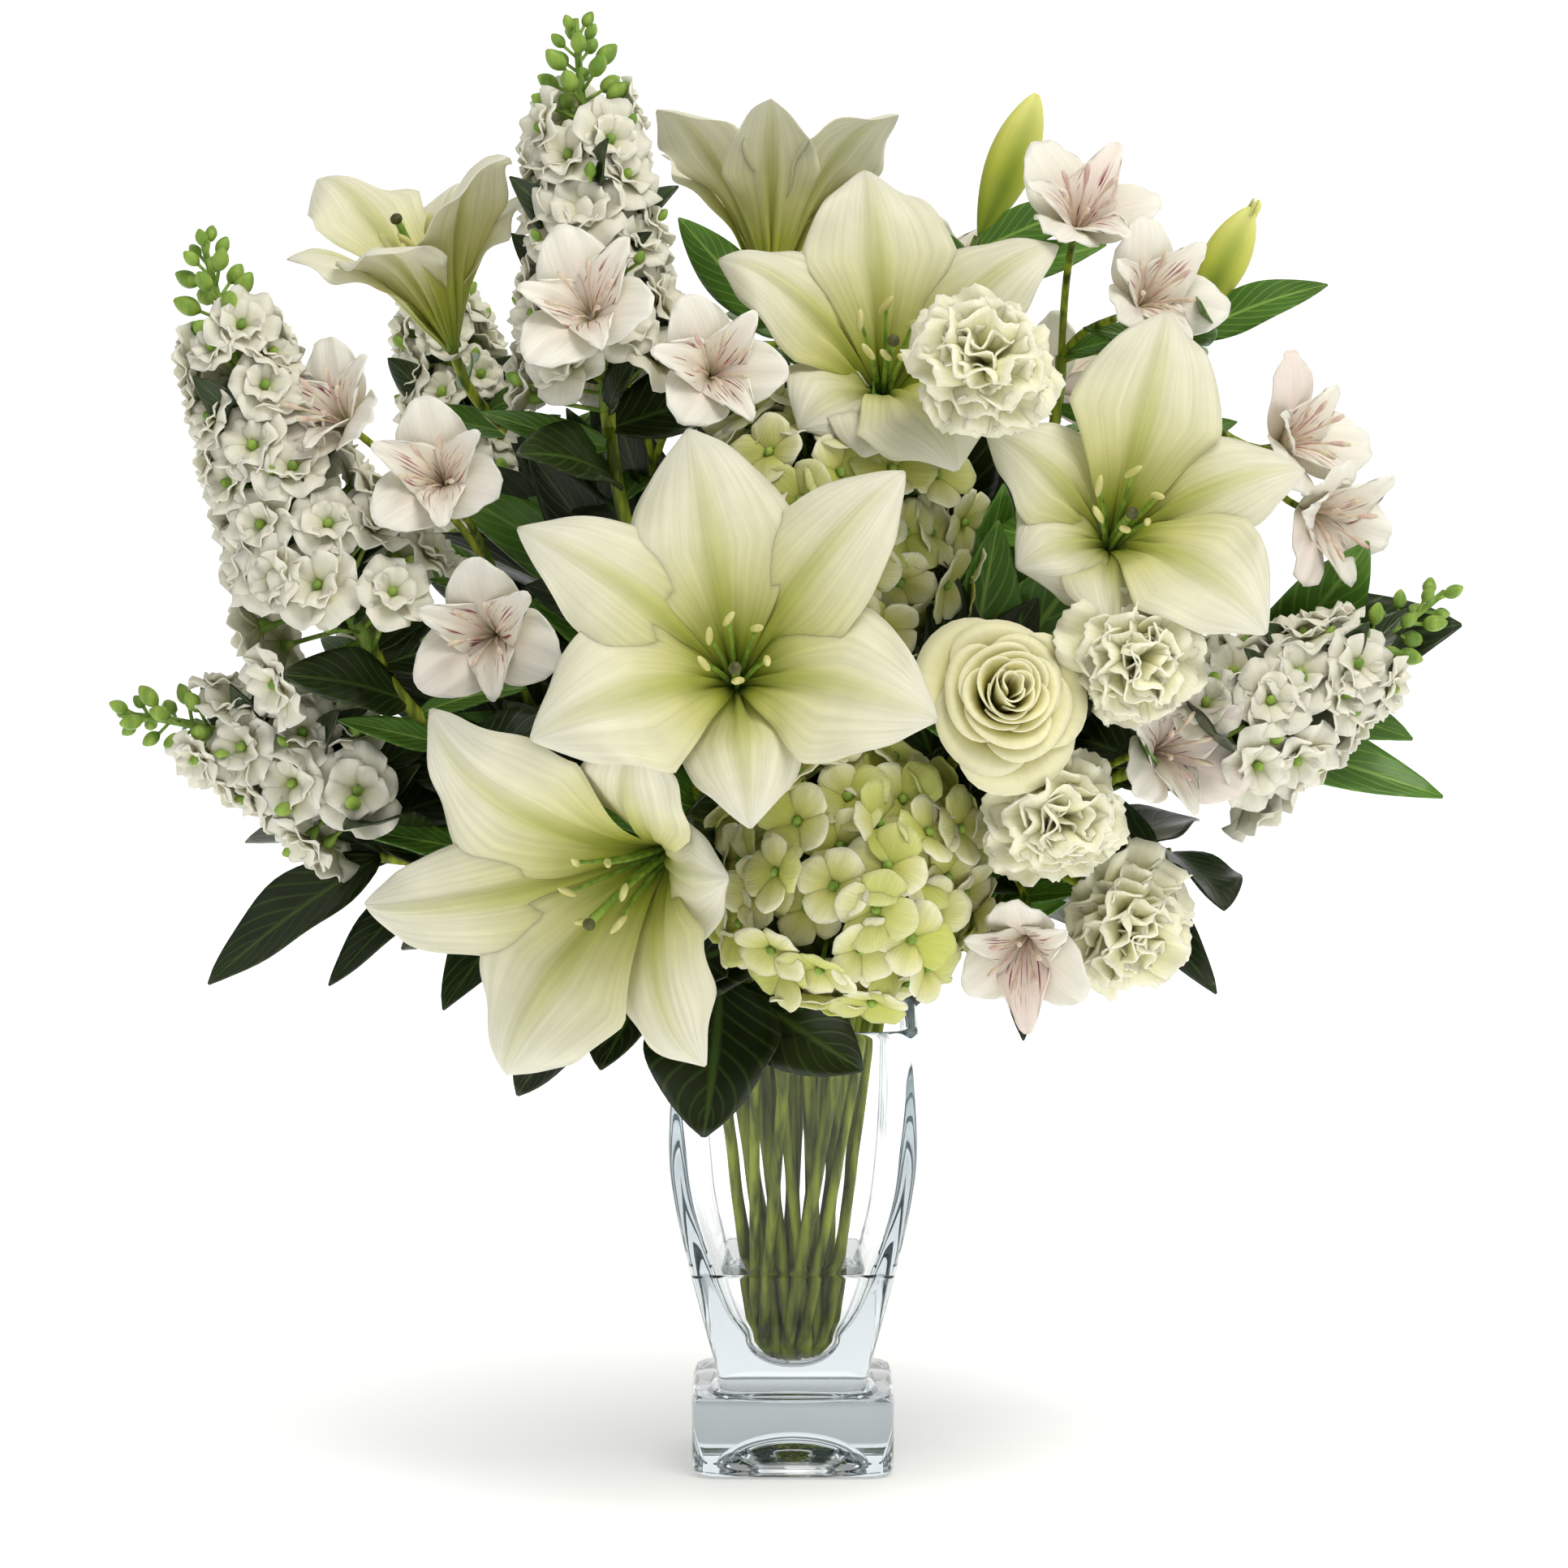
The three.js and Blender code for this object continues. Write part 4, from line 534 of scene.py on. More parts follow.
# %% The bundle
PITCH, BUNDLE_FOOT, BUNDLE_TOP = 5.8, 45.0, 170.0
SPREAD, TWIST = 0.004, 0.0125      # shares of a stem's way from the axis, for each millimetre of rise
INNER_RADIUS, FROM_WALL = 13.0, 3.4
ij = np.stack(np.meshgrid(np.arange(-3, 4), np.arange(-3, 4), indexing="ij"), -1).reshape(-1, 2)
places = PITCH * np.stack([ij[:, 0] + ij[:, 1] / 2, ij[:, 1] * np.sqrt(0.75)], -1)
places = list(places[np.linalg.norm(places, axis=1) < 2.7 * PITCH])


def bundle_point(place, height):
    """Where a stem stands at a height: place (1 + spread rise), and square to it twist times rise."""
    rise = np.asarray(height, float)[..., None] - BUNDLE_FOOT
    turned = np.array([-place[1], place[0]]) * (1 if np.linalg.norm(place) > INNER_RADIUS else -1)
    return np.concatenate([place * (1 + SPREAD * rise) + turned * TWIST * rise, rise + BUNDLE_FOOT], -1)


def take_place(goal):
    """Takes the free place whose top is nearest to where the stem leaves the vase."""
    away = [np.linalg.norm(bundle_point(p, BUNDLE_TOP)[:2] - goal) for p in places]
    return places.pop(int(np.argmin(away)))


def bezier(a, b, c, d, count):
    """Points of a cubic curve: a (1-t)^3 + 3 b t (1-t)^2 + 3 c t^2 (1-t) + d t^3."""
    t = np.linspace(0, 1, count)[:, None]
    return a * (1 - t) ** 3 + 3 * b * t * (1 - t) ** 2 + 3 * c * t ** 2 * (1 - t) + d * t ** 3


def way(start, leaving, end, arriving, shift=(0, 0, 0), count=22):
    """A smooth way from a start to an end, with both directions given and a shift of its middle."""
    length = np.linalg.norm(end - start)
    first, last = start + 0.4 * length * leaving + shift, end - 0.33 * length * arriving + shift
    return bezier(start, first, last, end, count)


def main_stem(end, arriving, shift=(0, 0, 0)):
    """A stem from its foot in the vase, through the bundle, to its end."""
    reach = max(np.linalg.norm(end[:2]), 1.0)
    edge = min(34.0, 40 * reach / max(60.0, end[2] - BUNDLE_TOP))
    place = take_place(edge * end[:2] / reach)
    heights = np.concatenate([np.linspace(42.6, 75, 6), np.linspace(88, BUNDLE_TOP, 6)])
    straight = bundle_point(place, heights)
    wall = np.concatenate([BOWL[::-1], INSIDE[::-1]])
    room = np.interp(heights, wall[:, 1], wall[:, 0])
    away = np.linalg.norm(straight[:, :2], axis=1) + 0.01
    straight[:, :2] *= np.minimum(1, (room - FROM_WALL) / away)[:, None]
    leaving = unit(straight[-1] - straight[-4])
    return np.concatenate([straight, way(straight[-1], leaving, end, arriving, np.asarray(shift))[1:]])


def side_stem(fork, end, arriving, shift=(0, 0, 0)):
    """A side stem from just below a fork to its end."""
    return way(fork - 2 * UP, unit(unit(end - fork) + UP), end, arriving, np.asarray(shift), 14)


print(len(places), "places in the bundle")

# %% [markdown]
# ## Lilies
# An open lily has three broad petals inside and three slimmer ones outside. Together they form a
# trumpet, then bend over and outwards. Each is a grid: along it the midrib leaves the axis at a small
# angle and leans over more and more, across it the sides rise into a channel near the throat and
# wave towards the tip. Six stamens with long anthers and a style with a dark stigma stand inside.

# %% Where the lilies stand
LILIES = {  # throat, facing, length and lean of the petals, their clock angles, how long each is, seed
    "lily_1": ((-20, -142, 314), (0, -0.94, 0.35), 110, 98, (102, 152, 205, 275, 340, 46),
               (1.06, 1.18, 1.02, 0.85, 0.98, 1.16), 1),
    "lily_2": ((-60, -128, 236), (-0.5, -0.84, -0.2), 110, 92, (129, 184, 238, 300, 4, 66),
               (1.12, 1.2, 1.06, 0.95, 0.6, 0.95), 2),
    "lily_3": ((116, -95, 362), (0.1, -0.88, 0.46), 97, 96, (75, 148, 205, 262, 310, 10),
               (1.08, 0.85, 0.62, 0.8, 1.05, 1), 3),
    "lily_4": ((34, -66, 417), (0.05, -0.8, 0.6), 100, 95, (95, 152, 222, 256, 290, 28),
               (1, 1, 0.65, 0.72, 0.9, 1.08), 4),
    "lily_5": ((-8, 12, 468), (0, 0.3, 0.95), 88, 58, (35, 90, 150, 210, 270, 330),
               (1, 1, 1, 1, 1, 1), 5),
    "lily_6": ((-133, -20, 449), (-0.25, -0.2, 0.93), 98, 62, (180, 240, 300, 0, 60, 120),
               (0.96, 0.8, 0.78, 1.14, 0.72, 0.78), 6),
    "lily_7": ((60, 125, 340), (0.25, 0.85, 0.4), 100, 98, (90, 150, 210, 270, 330, 30),
               (1, 1, 1, 1, 1, 1), 7),
}
TRUMPET = 40.0        # from the base of a bloom to the middle of its throat
PETAL_START = 16.0    # angle between a petal and the axis where it leaves the base
RECURVE = 42.0        # how far the last third of a petal bends back
RIB_HEIGHT = 1.5      # of the ribs that run along a petal
seats = {}            # where each bloom sits on its stem, and where it faces


def on_axis(local, turns, base, view):
    """Carries grids of (out, aside, ahead) round a bloom's axis: out points at each clock angle,
    aside is the front cross it, and ahead is the front. Bases and views may be rows of many blooms."""
    a = np.radians(np.asarray(turns, float))[..., None, None, None]
    front, right, up = [np.asarray(view)[..., i, :][..., None, None, :] for i in range(3)]
    out, aside = right * np.cos(a) + up * np.sin(a), up * np.cos(a) - right * np.sin(a)
    x, y, z = local[..., :1], local[..., 1:2], local[..., 2:]
    return np.asarray(base)[..., None, None, :] + x * out + y * aside + z * front


def seat(name, centre, facing, depth):
    """A bloom's three directions and its base, which lies depth behind its centre. The base and the
    front are noted as its seat."""
    view = view_of(facing)
    base = np.array(centre, float) - depth * view[0]
    seats[name] = (base, view[0])
    return view, base


# %% Lily petals
def lily_petals(length, half, end, seed, behind=0.0, t0=0.03, rows=40, cols=21):
    """One petal's local grid. Its lean is mix(start, end, t^1.4), and a recurve near the tip; out and
    ahead are the running sums of the lean's sine and cosine. Its width is sin(pi t)^0.82, less where
    the trumpet is narrow. Off the midrib it rises with the square of the way across near the throat
    and falls near the tip, ribs run along it, and long and short waves ripple the margins. An outer
    petal lies some millimetres behind the inner ones."""
    steps = 200
    share = (np.arange(steps) + 0.5) / steps
    lean = np.radians(mix(PETAL_START, end, share ** 1.4) + RECURVE * np.clip(share / 0.35 - 1.86, 0, 1) ** 2)
    line = np.cumsum(np.stack([np.sin(lean), np.cos(lean)], 1), 0) * length / steps
    line = np.concatenate([[[0, 0]], line])
    t = np.linspace(t0, 0.994, rows)[:, None]
    s = np.linspace(-1, 1, cols)
    out, ahead = [np.interp(t, np.linspace(0, 1, steps + 1), line[:, i]) for i in (0, 1)]
    a = np.interp(t, share, lean)
    full = half * (0.16 * (1 - t) + 0.97 * np.sin(np.pi * t ** 1.02) ** 0.82)
    width = np.minimum(full, 0.4 + out * 0.85)
    side = np.abs(s)
    ripple = 0.2 * np.sin(9 * t + 2 * s + seed) * t * side
    ripple = ripple + 0.12 * np.sin(25 * t + 3 * s + seed) * t * side ** 3
    channel = mix(0.5 - 0.15 * behind, -0.5, t ** 1.4) * s ** 2
    lift = width * (channel + ripple) - behind * np.minimum(1, 5 * t)
    ribs = np.exp(-(s / 0.1) ** 2) - 0.8 * np.exp(-((side - 0.24) / 0.13) ** 2)
    ribs = ribs + 0.3 * np.cos(16 * s) * (1 - s ** 2)
    lift = lift + RIB_HEIGHT * ribs * (1 - t ** 2) * np.minimum(1, 4 * t)
    return np.stack([out - np.cos(a) * lift, width * s, ahead + np.sin(a) * lift], -1)


def stalks(base, view, turns, reach, lean, start=4.0, spread=0.0, count=12):
    """Lines that rise inside a bloom, one at each clock angle: ahead in even steps, and out by
    lean times t (0.5 + t)."""
    t = np.linspace(0, 1, count)
    reach, lean = np.asarray(reach, float)[..., None], np.asarray(lean, float)[..., None]
    out, ahead = np.broadcast_arrays(spread + lean * reach * t * (0.5 + t), start + reach * t)
    local = np.stack([out, 0 * out, ahead], -1)
    return on_axis(local[..., None, :], turns, base, view)[..., 0, :]


def lily(name, throat, facing, length, open_, turns, reach, seed):
    """A bloom: petals at the clock angles, thickest along the midrib, and what stands inside it."""
    view, base = seat(name, throat, facing, TRUMPET)
    parts = []
    for i, turn in enumerate(turns):
        share = draw(seed, i)
        outer = i % 2
        grid = lily_petals(length * reach[i] * (0.98 + 0.06 * share), length * (0.28, 0.2)[outer],
                           open_ + 14 * (share - 0.5), seed + 2.1 * i, 2.3 * outer)
        t = np.linspace(0, 1, grid.shape[0])[:, None]
        s = np.linspace(-1, 1, grid.shape[1])
        parts.append(blades(on_axis(grid, turn, base, view), 0.35 + 1.3 * (1 - t) * (1 - s ** 2), share))
    filaments = stalks(base, view, turns, 0.46 * length, 0.1 + 0.06 * draw(seed, np.arange(6)), spread=2.0)
    parts.append(tubes(filaments, np.linspace(1.2, 0.6, 12), 8, finish=1))
    tips, ahead = filaments[:, -1], unit(filaments[:, -1] - filaments[:, -2])
    aside = unit(np.cross(ahead, view[0]) + 0.5 * ahead)
    anther = tips[:, None] + aside[:, None] * np.linspace(-4.5, 4.5, 9)[:, None]
    parts.append(tubes(anther, 1.35 * np.sqrt(1.02 - np.linspace(-1, 1, 9) ** 2), 8, finish=2))
    style = stalks(base, view, [-90.0], [0.54 * length], [0.1])
    parts.append(tubes(style, np.linspace(1.7, 1.3, 12), 10, finish=1))
    stigma = style[:, -1:] + unit(style[:, -1:] - style[:, -2:-1]) * np.linspace(-2, 2, 7)[:, None]
    parts.append(tubes(stigma, 2.3 * np.sqrt(1.05 - np.linspace(-1, 1, 7) ** 2), 10, finish=3))
    piece(name + "_bloom", parts, [LILY_PETAL, BUD_GREEN, POLLEN, STIGMA], [name])


for name, row in LILIES.items():
    lily(name, *row)

# %% [markdown]
# ## Lily buds
# A closed bud is a slim body with three ribs, where its outer petals meet. The one that has begun
# to open shows the tips of its petals, curling apart.

# %% Buds
BUDS = {  # foot, tip, and how far it has parted
    "lily_bud_1": ((68, 0, 455), (89, 5, 507), 0.0),
    "lily_bud_2": ((145, -15, 424), (169, -15, 472), 1.0),
}


def ribbed(foot, tip, swell, ribs, depth, sides=30, count=26, finish=0):
    """A body along an axis whose radius swells as sin(pi t^1.15)^0.7 and, round it, by depth times
    the cosine of ribs times the clock angle."""
    line = foot + (tip - foot) * np.linspace(0, 1, count)[:, None]
    t = np.linspace(0.015, 0.985, count)
    part = tubes(line, swell * np.sin(np.pi * t ** 1.15) ** 0.7, sides, 0.5, finish=finish)
    axis = unit(tip - foot)
    from_axis = part["points"] - foot
    ahead = (from_axis @ axis)[:, None] * axis
    off = from_axis - ahead
    view = view_of(axis)
    turn = np.arctan2(off @ view[2], off @ view[1])[:, None]
    part["points"] = foot + ahead + off * (1 + depth * np.cos(ribs * turn))
    part["grain"][:, 1] = 0.5 + 0.5 * np.abs(((ribs * turn[:, 0] / (2 * np.pi)) % 1) * 2 - 1)
    return part


for index, (name, (foot_of, tip, parted)) in enumerate(BUDS.items()):
    foot_of, tip = np.array(foot_of, float), np.array(tip, float)
    view = view_of(tip - foot_of)
    length = np.linalg.norm(tip - foot_of)
    seats[name] = (foot_of, view[0])
    parts = [ribbed(foot_of, tip - 0.12 * parted * length * view[0], 0.155 * length, 3, 0.12)]
    if parted:
        for i, turn in enumerate((90, 210, 330)):
            grid = lily_petals(0.66 * length, 0.13 * length, -38.0 + 6 * i, 3.0 + i,
                               t0=0.12, rows=22, cols=11)
            grid = grid + [0.03 * length, 0, 0.3 * length]
            parts.append(blades(on_axis(grid, turn, foot_of, view), 0.7, draw(5, i)))
    piece(name + "_petals", parts, [BUD_PETAL], [name])

# %% [markdown]
# ## Petals of the small flowers
# All other petals are fans: narrow at the root, widest near the end, with a rounded, ruffled or
# toothed edge. One function makes them, for any number of petals at a time, with a midrib that is an
# arc of a circle. A flower is then a few rings of such petals at different leans.

# %% Fan petals
def fans(length, half, lean, curl, rows=8, cols=9, neck=0.25, rounding=0.18, cup=0.1, ruffle=0.0,
         waves=3.0, phase=0.0, teeth=0.0, point=0.0):
    """Local grids of fan petals, one for each row of the arguments. The midrib leaves the axis at
    lean and turns by curl: out = (cos(lean) - cos(lean + curl t)) / curl, ahead = (sin(lean + curl t)
    - sin(lean)) / curl. Columns off the middle are shorter by rounding times the square of the way
    across, and by teeth, and point narrows the end as t^3. The sides rise by cup, and the edge ripples
    as sin(waves pi s + phase)."""
    rows_of = (length, half, lean, curl, phase)
    length, half, lean, curl, phase = [np.asarray(v, float)[..., None, None] for v in rows_of]
    lean, curl = np.radians(lean), np.radians(curl) + 1e-4
    t = np.linspace(0.02, 1, rows)[:, None]
    s = np.linspace(-1, 1, cols)
    u = t * (1 - rounding * s ** 2 - teeth * np.abs((s * 3.5 + phase) % 1 * 2 - 1) * t ** 3)
    a = lean + curl * u
    widening = np.sin(0.5 * np.pi * np.minimum(1.25 * t, 1)) ** 1.2
    width = half * (neck + (1 - neck) * widening) * (1 - point * t ** 3)
    lift = cup * width * s ** 2 + ruffle * length * t ** 2 * np.sin(waves * np.pi * s + 6.28 * phase)
    out = length * (np.cos(lean) - np.cos(a)) / curl - np.cos(a) * lift
    ahead = length * (np.sin(a) - np.sin(lean)) / curl + np.sin(a) * lift
    return np.stack([out, width * s + 0 * a, ahead], -1)


def ring(base, view, count, seed, length, half, lean, curl, height=0.0, turn=0.0, thickness=0.5, vary=0.1,
         finish=0, mark=0.0, **shape):
    """A ring of petals on each of many flowers: base and view are rows, one for each flower, and
    half is a share of the length. Lengths, leans and clock angles vary by seeded draws."""
    base, view = np.atleast_2d(base), np.asarray(view).reshape(-1, 3, 3)
    n = np.arange(len(base))[:, None]
    k = np.arange(count)
    chance = draw(seed + 3.7 * n, k)
    other = draw(seed + 1.3 * n + 50, k)
    size = (1 - vary + 2 * vary * chance) * np.asarray(length, float).reshape(-1, 1)
    grid = fans(size, size * half, lean + 90 * vary * (other - 0.5), curl + 60 * vary * (chance - 0.5),
                phase=other, **shape)
    grid[..., 2] += np.asarray(height, float).reshape(-1, 1, 1, 1)
    turns = np.reshape(turn, (-1, 1)) + 360 * k / count + 60 * vary * (other - 0.5)
    middle = on_axis(grid, turns, base[:, None], view[:, None])
    return blades(middle, thickness, chance, mark, finish)


print("a fan petal's grid:", fans([10.0], [5.0], [60.0], [30.0]).shape)

# %% [markdown]
# ## Stock
# A spike of stock carries double florets, each a small rosette of ruffled petals, that wind up its
# axis by the golden angle. They shrink towards the top, where the last buds are still green.

# %% Spikes of stock
STOCKS = {  # the axis from low through middle to top, width, swelling at the foot, share in flower
    "stock_1": ((-66, -66, 395), (-72, -50, 462), (-78, -35, 534), 72, 0.2),
    "stock_2": ((-150, -70, 310), (-186, -60, 379), (-212, -45, 458), 68, 0.6),
    "stock_3": ((-150, -60, 252), (-194, -60, 276), (-243, -50, 285), 64, 0.2, 0.62),
    "stock_4": ((145, -60, 276), (190, -55, 298), (236, -35, 328), 70, 0.3, 0.58),
    "stock_5": ((-105, 80, 330), (-128, 96, 390), (-140, 108, 455), 64, 0.3),
}
spike_axes = {}


def rosettes(base, view, radius, seed):
    """Double florets: two rings of ruffled petals on each, round a green eye, and a cup below."""
    wavy = dict(ruffle=0.13, waves=1.5, rounding=0.26, rows=6, cols=9, thickness=0.45, vary=0.14)
    turn = 72 * draw(seed, np.arange(len(base)))
    parts = [ring(base, view, 5, seed, radius * 1.2, 0.5, 54, 44, turn=turn, **wavy),
             ring(base, view, 5, seed + 1, radius * 0.9, 0.46, 30, 42, turn=turn + 36, **wavy)]
    cups = base[:, None] + view[:, :1] * np.linspace(-5, 5.5, 7)[:, None]
    parts.append(tubes(cups, [0.8, 1.6, 2.2, 2.4, 1.6, 1.9, 1.2], 7, finish=1))
    return parts


def green_buds(axis, shares, seed, longest, spread):
    """Closed buds on short twigs that wind up the end of an axis, smaller towards its tip."""
    forward = unit(axis(shares + 0.01) - axis(shares - 0.01))
    view = view_of(forward)
    turn = GOLDEN_ANGLE * np.arange(len(shares))
    out = view[:, 1] * np.cos(turn)[:, None] + view[:, 2] * np.sin(turn)[:, None]
    place = axis(shares) + out * np.reshape(spread, (-1, 1))
    ahead = unit(out * np.linspace(1.0, 0.4, len(shares))[:, None] + 0.6 * forward)
    smaller, varied = np.linspace(1.1, 0.75, len(shares)), 0.8 + 0.4 * draw(seed + 1, np.arange(len(shares)))
    size = (longest * smaller * varied)[:, None, None]
    t = np.linspace(0.02, 0.98, 8)
    line = place[:, None] + ahead[:, None] * size * t[:, None]
    buds = tubes(line, 0.3 * size[..., 0] * np.sin(np.pi * t ** 0.9) ** 0.7 + 0.2, 8, finish=1)
    twigs = np.stack([mix(axis(shares - 0.03), place, u) for u in (0.0, 0.5, 1.1)], 1)
    return [buds, tubes(twigs, 0.7, 6, finish=1)]


def spike(name, low, middle, top, width, swell, flowered=0.76, seed=0):
    """A spike in flower over the given share of its axis, with green buds among its florets and
    from there to its tip. It is wider at its foot by swell."""
    low, middle, top = [np.array(v, float) for v in (low, middle, top)]
    control = 2 * middle - 0.5 * low - 0.5 * top

    def axis(t):
        """low (1-t)^2 + 2 control t (1-t) + top t^2."""
        t = np.asarray(t, float)[..., None]
        return low * (1 - t) ** 2 + 2 * control * t * (1 - t) + top * t ** 2

    spike_axes[name] = axis
    seats[name] = (low, unit(axis(0.33) - low))
    count = int(np.linalg.norm(top - low) * (0.2 + 0.12 * swell))
    t = np.linspace(0.0, flowered, count)
    forward = unit(axis(t + 0.01) - axis(t - 0.01))
    turn = GOLDEN_ANGLE * np.arange(count) + seed
    around = view_of(forward)
    out = around[:, 1] * np.cos(turn)[:, None] + around[:, 2] * np.sin(turn)[:, None]
    scatter = np.stack([draw(seed + k, t) for k in range(3)], 1) - 0.5
    facing = unit(out + 0.35 * forward + 0.5 * scatter)
    wide = width * (1 + swell * (1 - t) ** 2) * (1 - 0.35 * t)
    radius = 0.215 * width * (1 - 0.3 * t) * (0.85 + 0.3 * draw(seed + 3, t))
    base = axis(t) + facing * (0.5 * wide - 1.05 * radius)[:, None]
    parts = rosettes(base, view_of(facing), radius, seed)
    end, among = np.linspace(flowered + 0.02, 0.98, 18), np.linspace(0.08, flowered, 16)
    parts += green_buds(axis, end, seed, 9.5, np.linspace(0.14, 0.04, 18) * width)
    parts += green_buds(axis, among, seed + 7, 7.0, np.linspace(0.42, 0.26, 16) * width)
    parts.append(tubes(axis(np.linspace(0, 1, 24)), np.linspace(2.9, 1.2, 24), 10, finish=1))
    twigs = np.stack([mix(axis(t), base, u) for u in np.linspace(0, 1, 4)], 1)
    parts.append(tubes(twigs, 0.9, 6, finish=1))
    piece(name + "_florets", parts, [STOCK_PETAL, BUD_GREEN], [name])


for index, (name, row) in enumerate(STOCKS.items()):
    spike(name, *row, seed=50 + index)

# %% [markdown]
# ## Carnations and roses
# A carnation is a ball of toothed, crumpled petals that rise from a narrow green cup. A garden rose
# holds broader, smooth petals that cup each other, their edges rolled out a little.

# %% Carnations and roses
CARNATIONS = {  # centre, facing, radius
    "carnation_1": ((66, -128, 420), (0.05, -0.85, 0.5), 25),
    "carnation_2": ((95, -116, 255), (0.3, -0.9, -0.05), 25),
    "carnation_3": ((122, -90, 210), (0.45, -0.8, -0.35), 26),
    "carnation_4": ((122, -122, 312), (0.35, -0.9, 0.02), 24),
    "carnation_5": ((-10, 122, 385), (-0.1, 0.8, 0.55), 27),
}
ROSES = {  # the same
    "rose_1": ((74, -124, 300), (0.15, -0.92, 0.3), 31),
    "rose_2": ((118, 92, 275), (0.6, 0.75, 0.15), 31),
}
for index, (name, (centre, facing, r)) in enumerate(CARNATIONS.items()):
    view, base = seat(name, centre, facing, 0.7 * r)
    parts = [ring(base, view, count, 10 + 7 * index + row, r * reach, 0.42, lean, curl, height=r * height,
                  turn=23 * row, rows=9, cols=17, neck=0.3, rounding=0.2, ruffle=0.13, waves=1.7,
                  teeth=0.05, thickness=0.7, vary=0.22)
             for row, (count, reach, lean, curl, height) in enumerate((
                 (5, 0.95, 4, 22, 0.3), (7, 0.98, 14, 32, 0.26), (8, 1.0, 26, 40, 0.2),
                 (9, 1.02, 38, 44, 0.14), (10, 1.05, 50, 44, 0.08), (10, 1.04, 62, 42, 0.03)))]
    piece(name + "_petals", parts, [CARNATION_PETAL], [name])

ROSE_PETALS = 24


def rose_petals(r, seed, rows=14, cols=17):
    """Petals wrapped round the axis at the golden angle, from a tight bud outwards. Each is part of
    a cup: its radius is wide times (0.3 + 0.7 (1 - (1 - t)^2)) plus a flare that grows as t^4, its
    height runs with t, less at the corners, and its lip rolls out and down as t^8."""
    u = (np.arange(ROSE_PETALS) / (ROSE_PETALS - 1))[:, None, None]
    chance = draw(seed, np.arange(ROSE_PETALS))[:, None, None]
    t = np.linspace(0.0, 1, rows)[:, None]
    s = np.linspace(-1, 1, cols)
    wide, tall = r * (0.07 + 0.5 * u ** 0.9), r * (1.28 - 0.62 * u + 0.1 * chance)
    reach = t * (1 - 0.16 * s ** 4 - 0.05 * s ** 2)
    radius = wide * (0.3 + 0.7 * (1 - (1 - reach) ** 2)) + r * (0.03 + 0.5 * u ** 2) * reach ** 4
    radius = radius + r * 0.04 * np.sin(3 * s + 6.28 * chance) * reach ** 3
    ahead = tall * reach - r * (0.04 + 0.2 * u) * reach ** 8 + 0.06 * r
    a = np.radians(mix(95, 62, u)) * s
    grid = np.stack([radius * np.cos(a), radius * np.sin(a), ahead + 0 * a], -1)
    return grid, np.degrees(GOLDEN_ANGLE) * np.arange(ROSE_PETALS)


for index, (name, (centre, facing, r)) in enumerate(ROSES.items()):
    view, base = seat(name, centre, facing, 0.7 * r)
    cups, turns = rose_petals(r, 30 + index)
    parts = [blades(on_axis(cups, turns, base, view), 0.6, draw(31 + index, np.arange(ROSE_PETALS)))]
    piece(name + "_petals", parts, [ROSE_PETAL], [name])

# %% [markdown]
# ## Hydrangeas
# A mop head is a dome of four-petalled florets that overlap like scales. They are laid out on a
# spiral from the head's front pole, over a smaller core that stands in for the many fine stalks.
# The core is dark green, which is painted shade in the gaps between the florets.

# %% Hydrangea heads
HYDRANGEAS = {  # centre, facing, radius
    "hydrangea_1": ((17, -88, 232), (0.1, -0.85, -0.1), 56),
    "hydrangea_2": ((8, -44, 346), (0.1, -0.6, 0.8), 63),
    "hydrangea_3": ((-35, 92, 262), (-0.3, 0.9, 0.2), 58),
}
HYDRANGEA_FLORETS, HYDRANGEA_PETAL_LENGTH = 78, 15.5
for index, (name, (centre, facing, r)) in enumerate(HYDRANGEAS.items()):
    centre = np.array(centre, float)
    view, _ = seat(name, centre, facing, 0.62 * r)
    i = np.arange(HYDRANGEA_FLORETS)
    depth = mix(1, -0.66, (i + 0.4) / HYDRANGEA_FLORETS)
    around = view[1] * np.cos(GOLDEN_ANGLE * i)[:, None] + view[2] * np.sin(GOLDEN_ANGLE * i)[:, None]
    direction = view[0] * depth[:, None] + around * np.sqrt(1 - depth ** 2)[:, None]
    scatter = np.stack([draw(i, k) for k in (71, 72, 73)], 1) - 0.5
    tilt = unit(direction + 0.75 * scatter)
    spot = centre + direction * (r * (0.68 + 0.2 * draw(60 + index, i)))[:, None]
    parts = [ring(spot, view_of(tilt), 4, 60 + index, np.full(HYDRANGEA_FLORETS, HYDRANGEA_PETAL_LENGTH),
                  0.5, 62, 30, turn=90 * draw(61 + index, i), rows=7, cols=9, neck=0.25, rounding=0.3,
                  cup=-0.12, ruffle=0.03, waves=2.0, thickness=0.5, vary=0.09)]
    bead = spot[:, None] + tilt[:, None] * np.linspace(0.2, 3.2, 5)[:, None]
    parts.append(tubes(bead, [0.8, 1.6, 1.9, 1.5, 0.6], 7, finish=1))
    twig = np.stack([mix(centre, spot, u) for u in (0.5, 0.8, 1.0)], 1)
    parts.append(tubes(twig, 0.9, 5, finish=1))
    # The core's dark green is painted shade in the gaps between the florets, as well as the colour of the
    # stalks.
    core = centre + view[0] * (0.62 * r * np.linspace(-1, 1, 15))[:, None]
    parts.append(tubes(core, 0.58 * r * np.sqrt(1.001 - np.linspace(-1, 1, 15) ** 2), 28, finish=2))
    piece(name + "_head", parts, [HYDRANGEA_PETAL, BUD_GREEN, STALKS_AND_SHADE], [name])

# %% [markdown]
# ## Alstroemerias
# Each spray forks into a few open funnels of six petals: three broad ones with a pink flush, and
# three slim ones inside, streaked with dark red near the throat. Six stamens curve out of it.

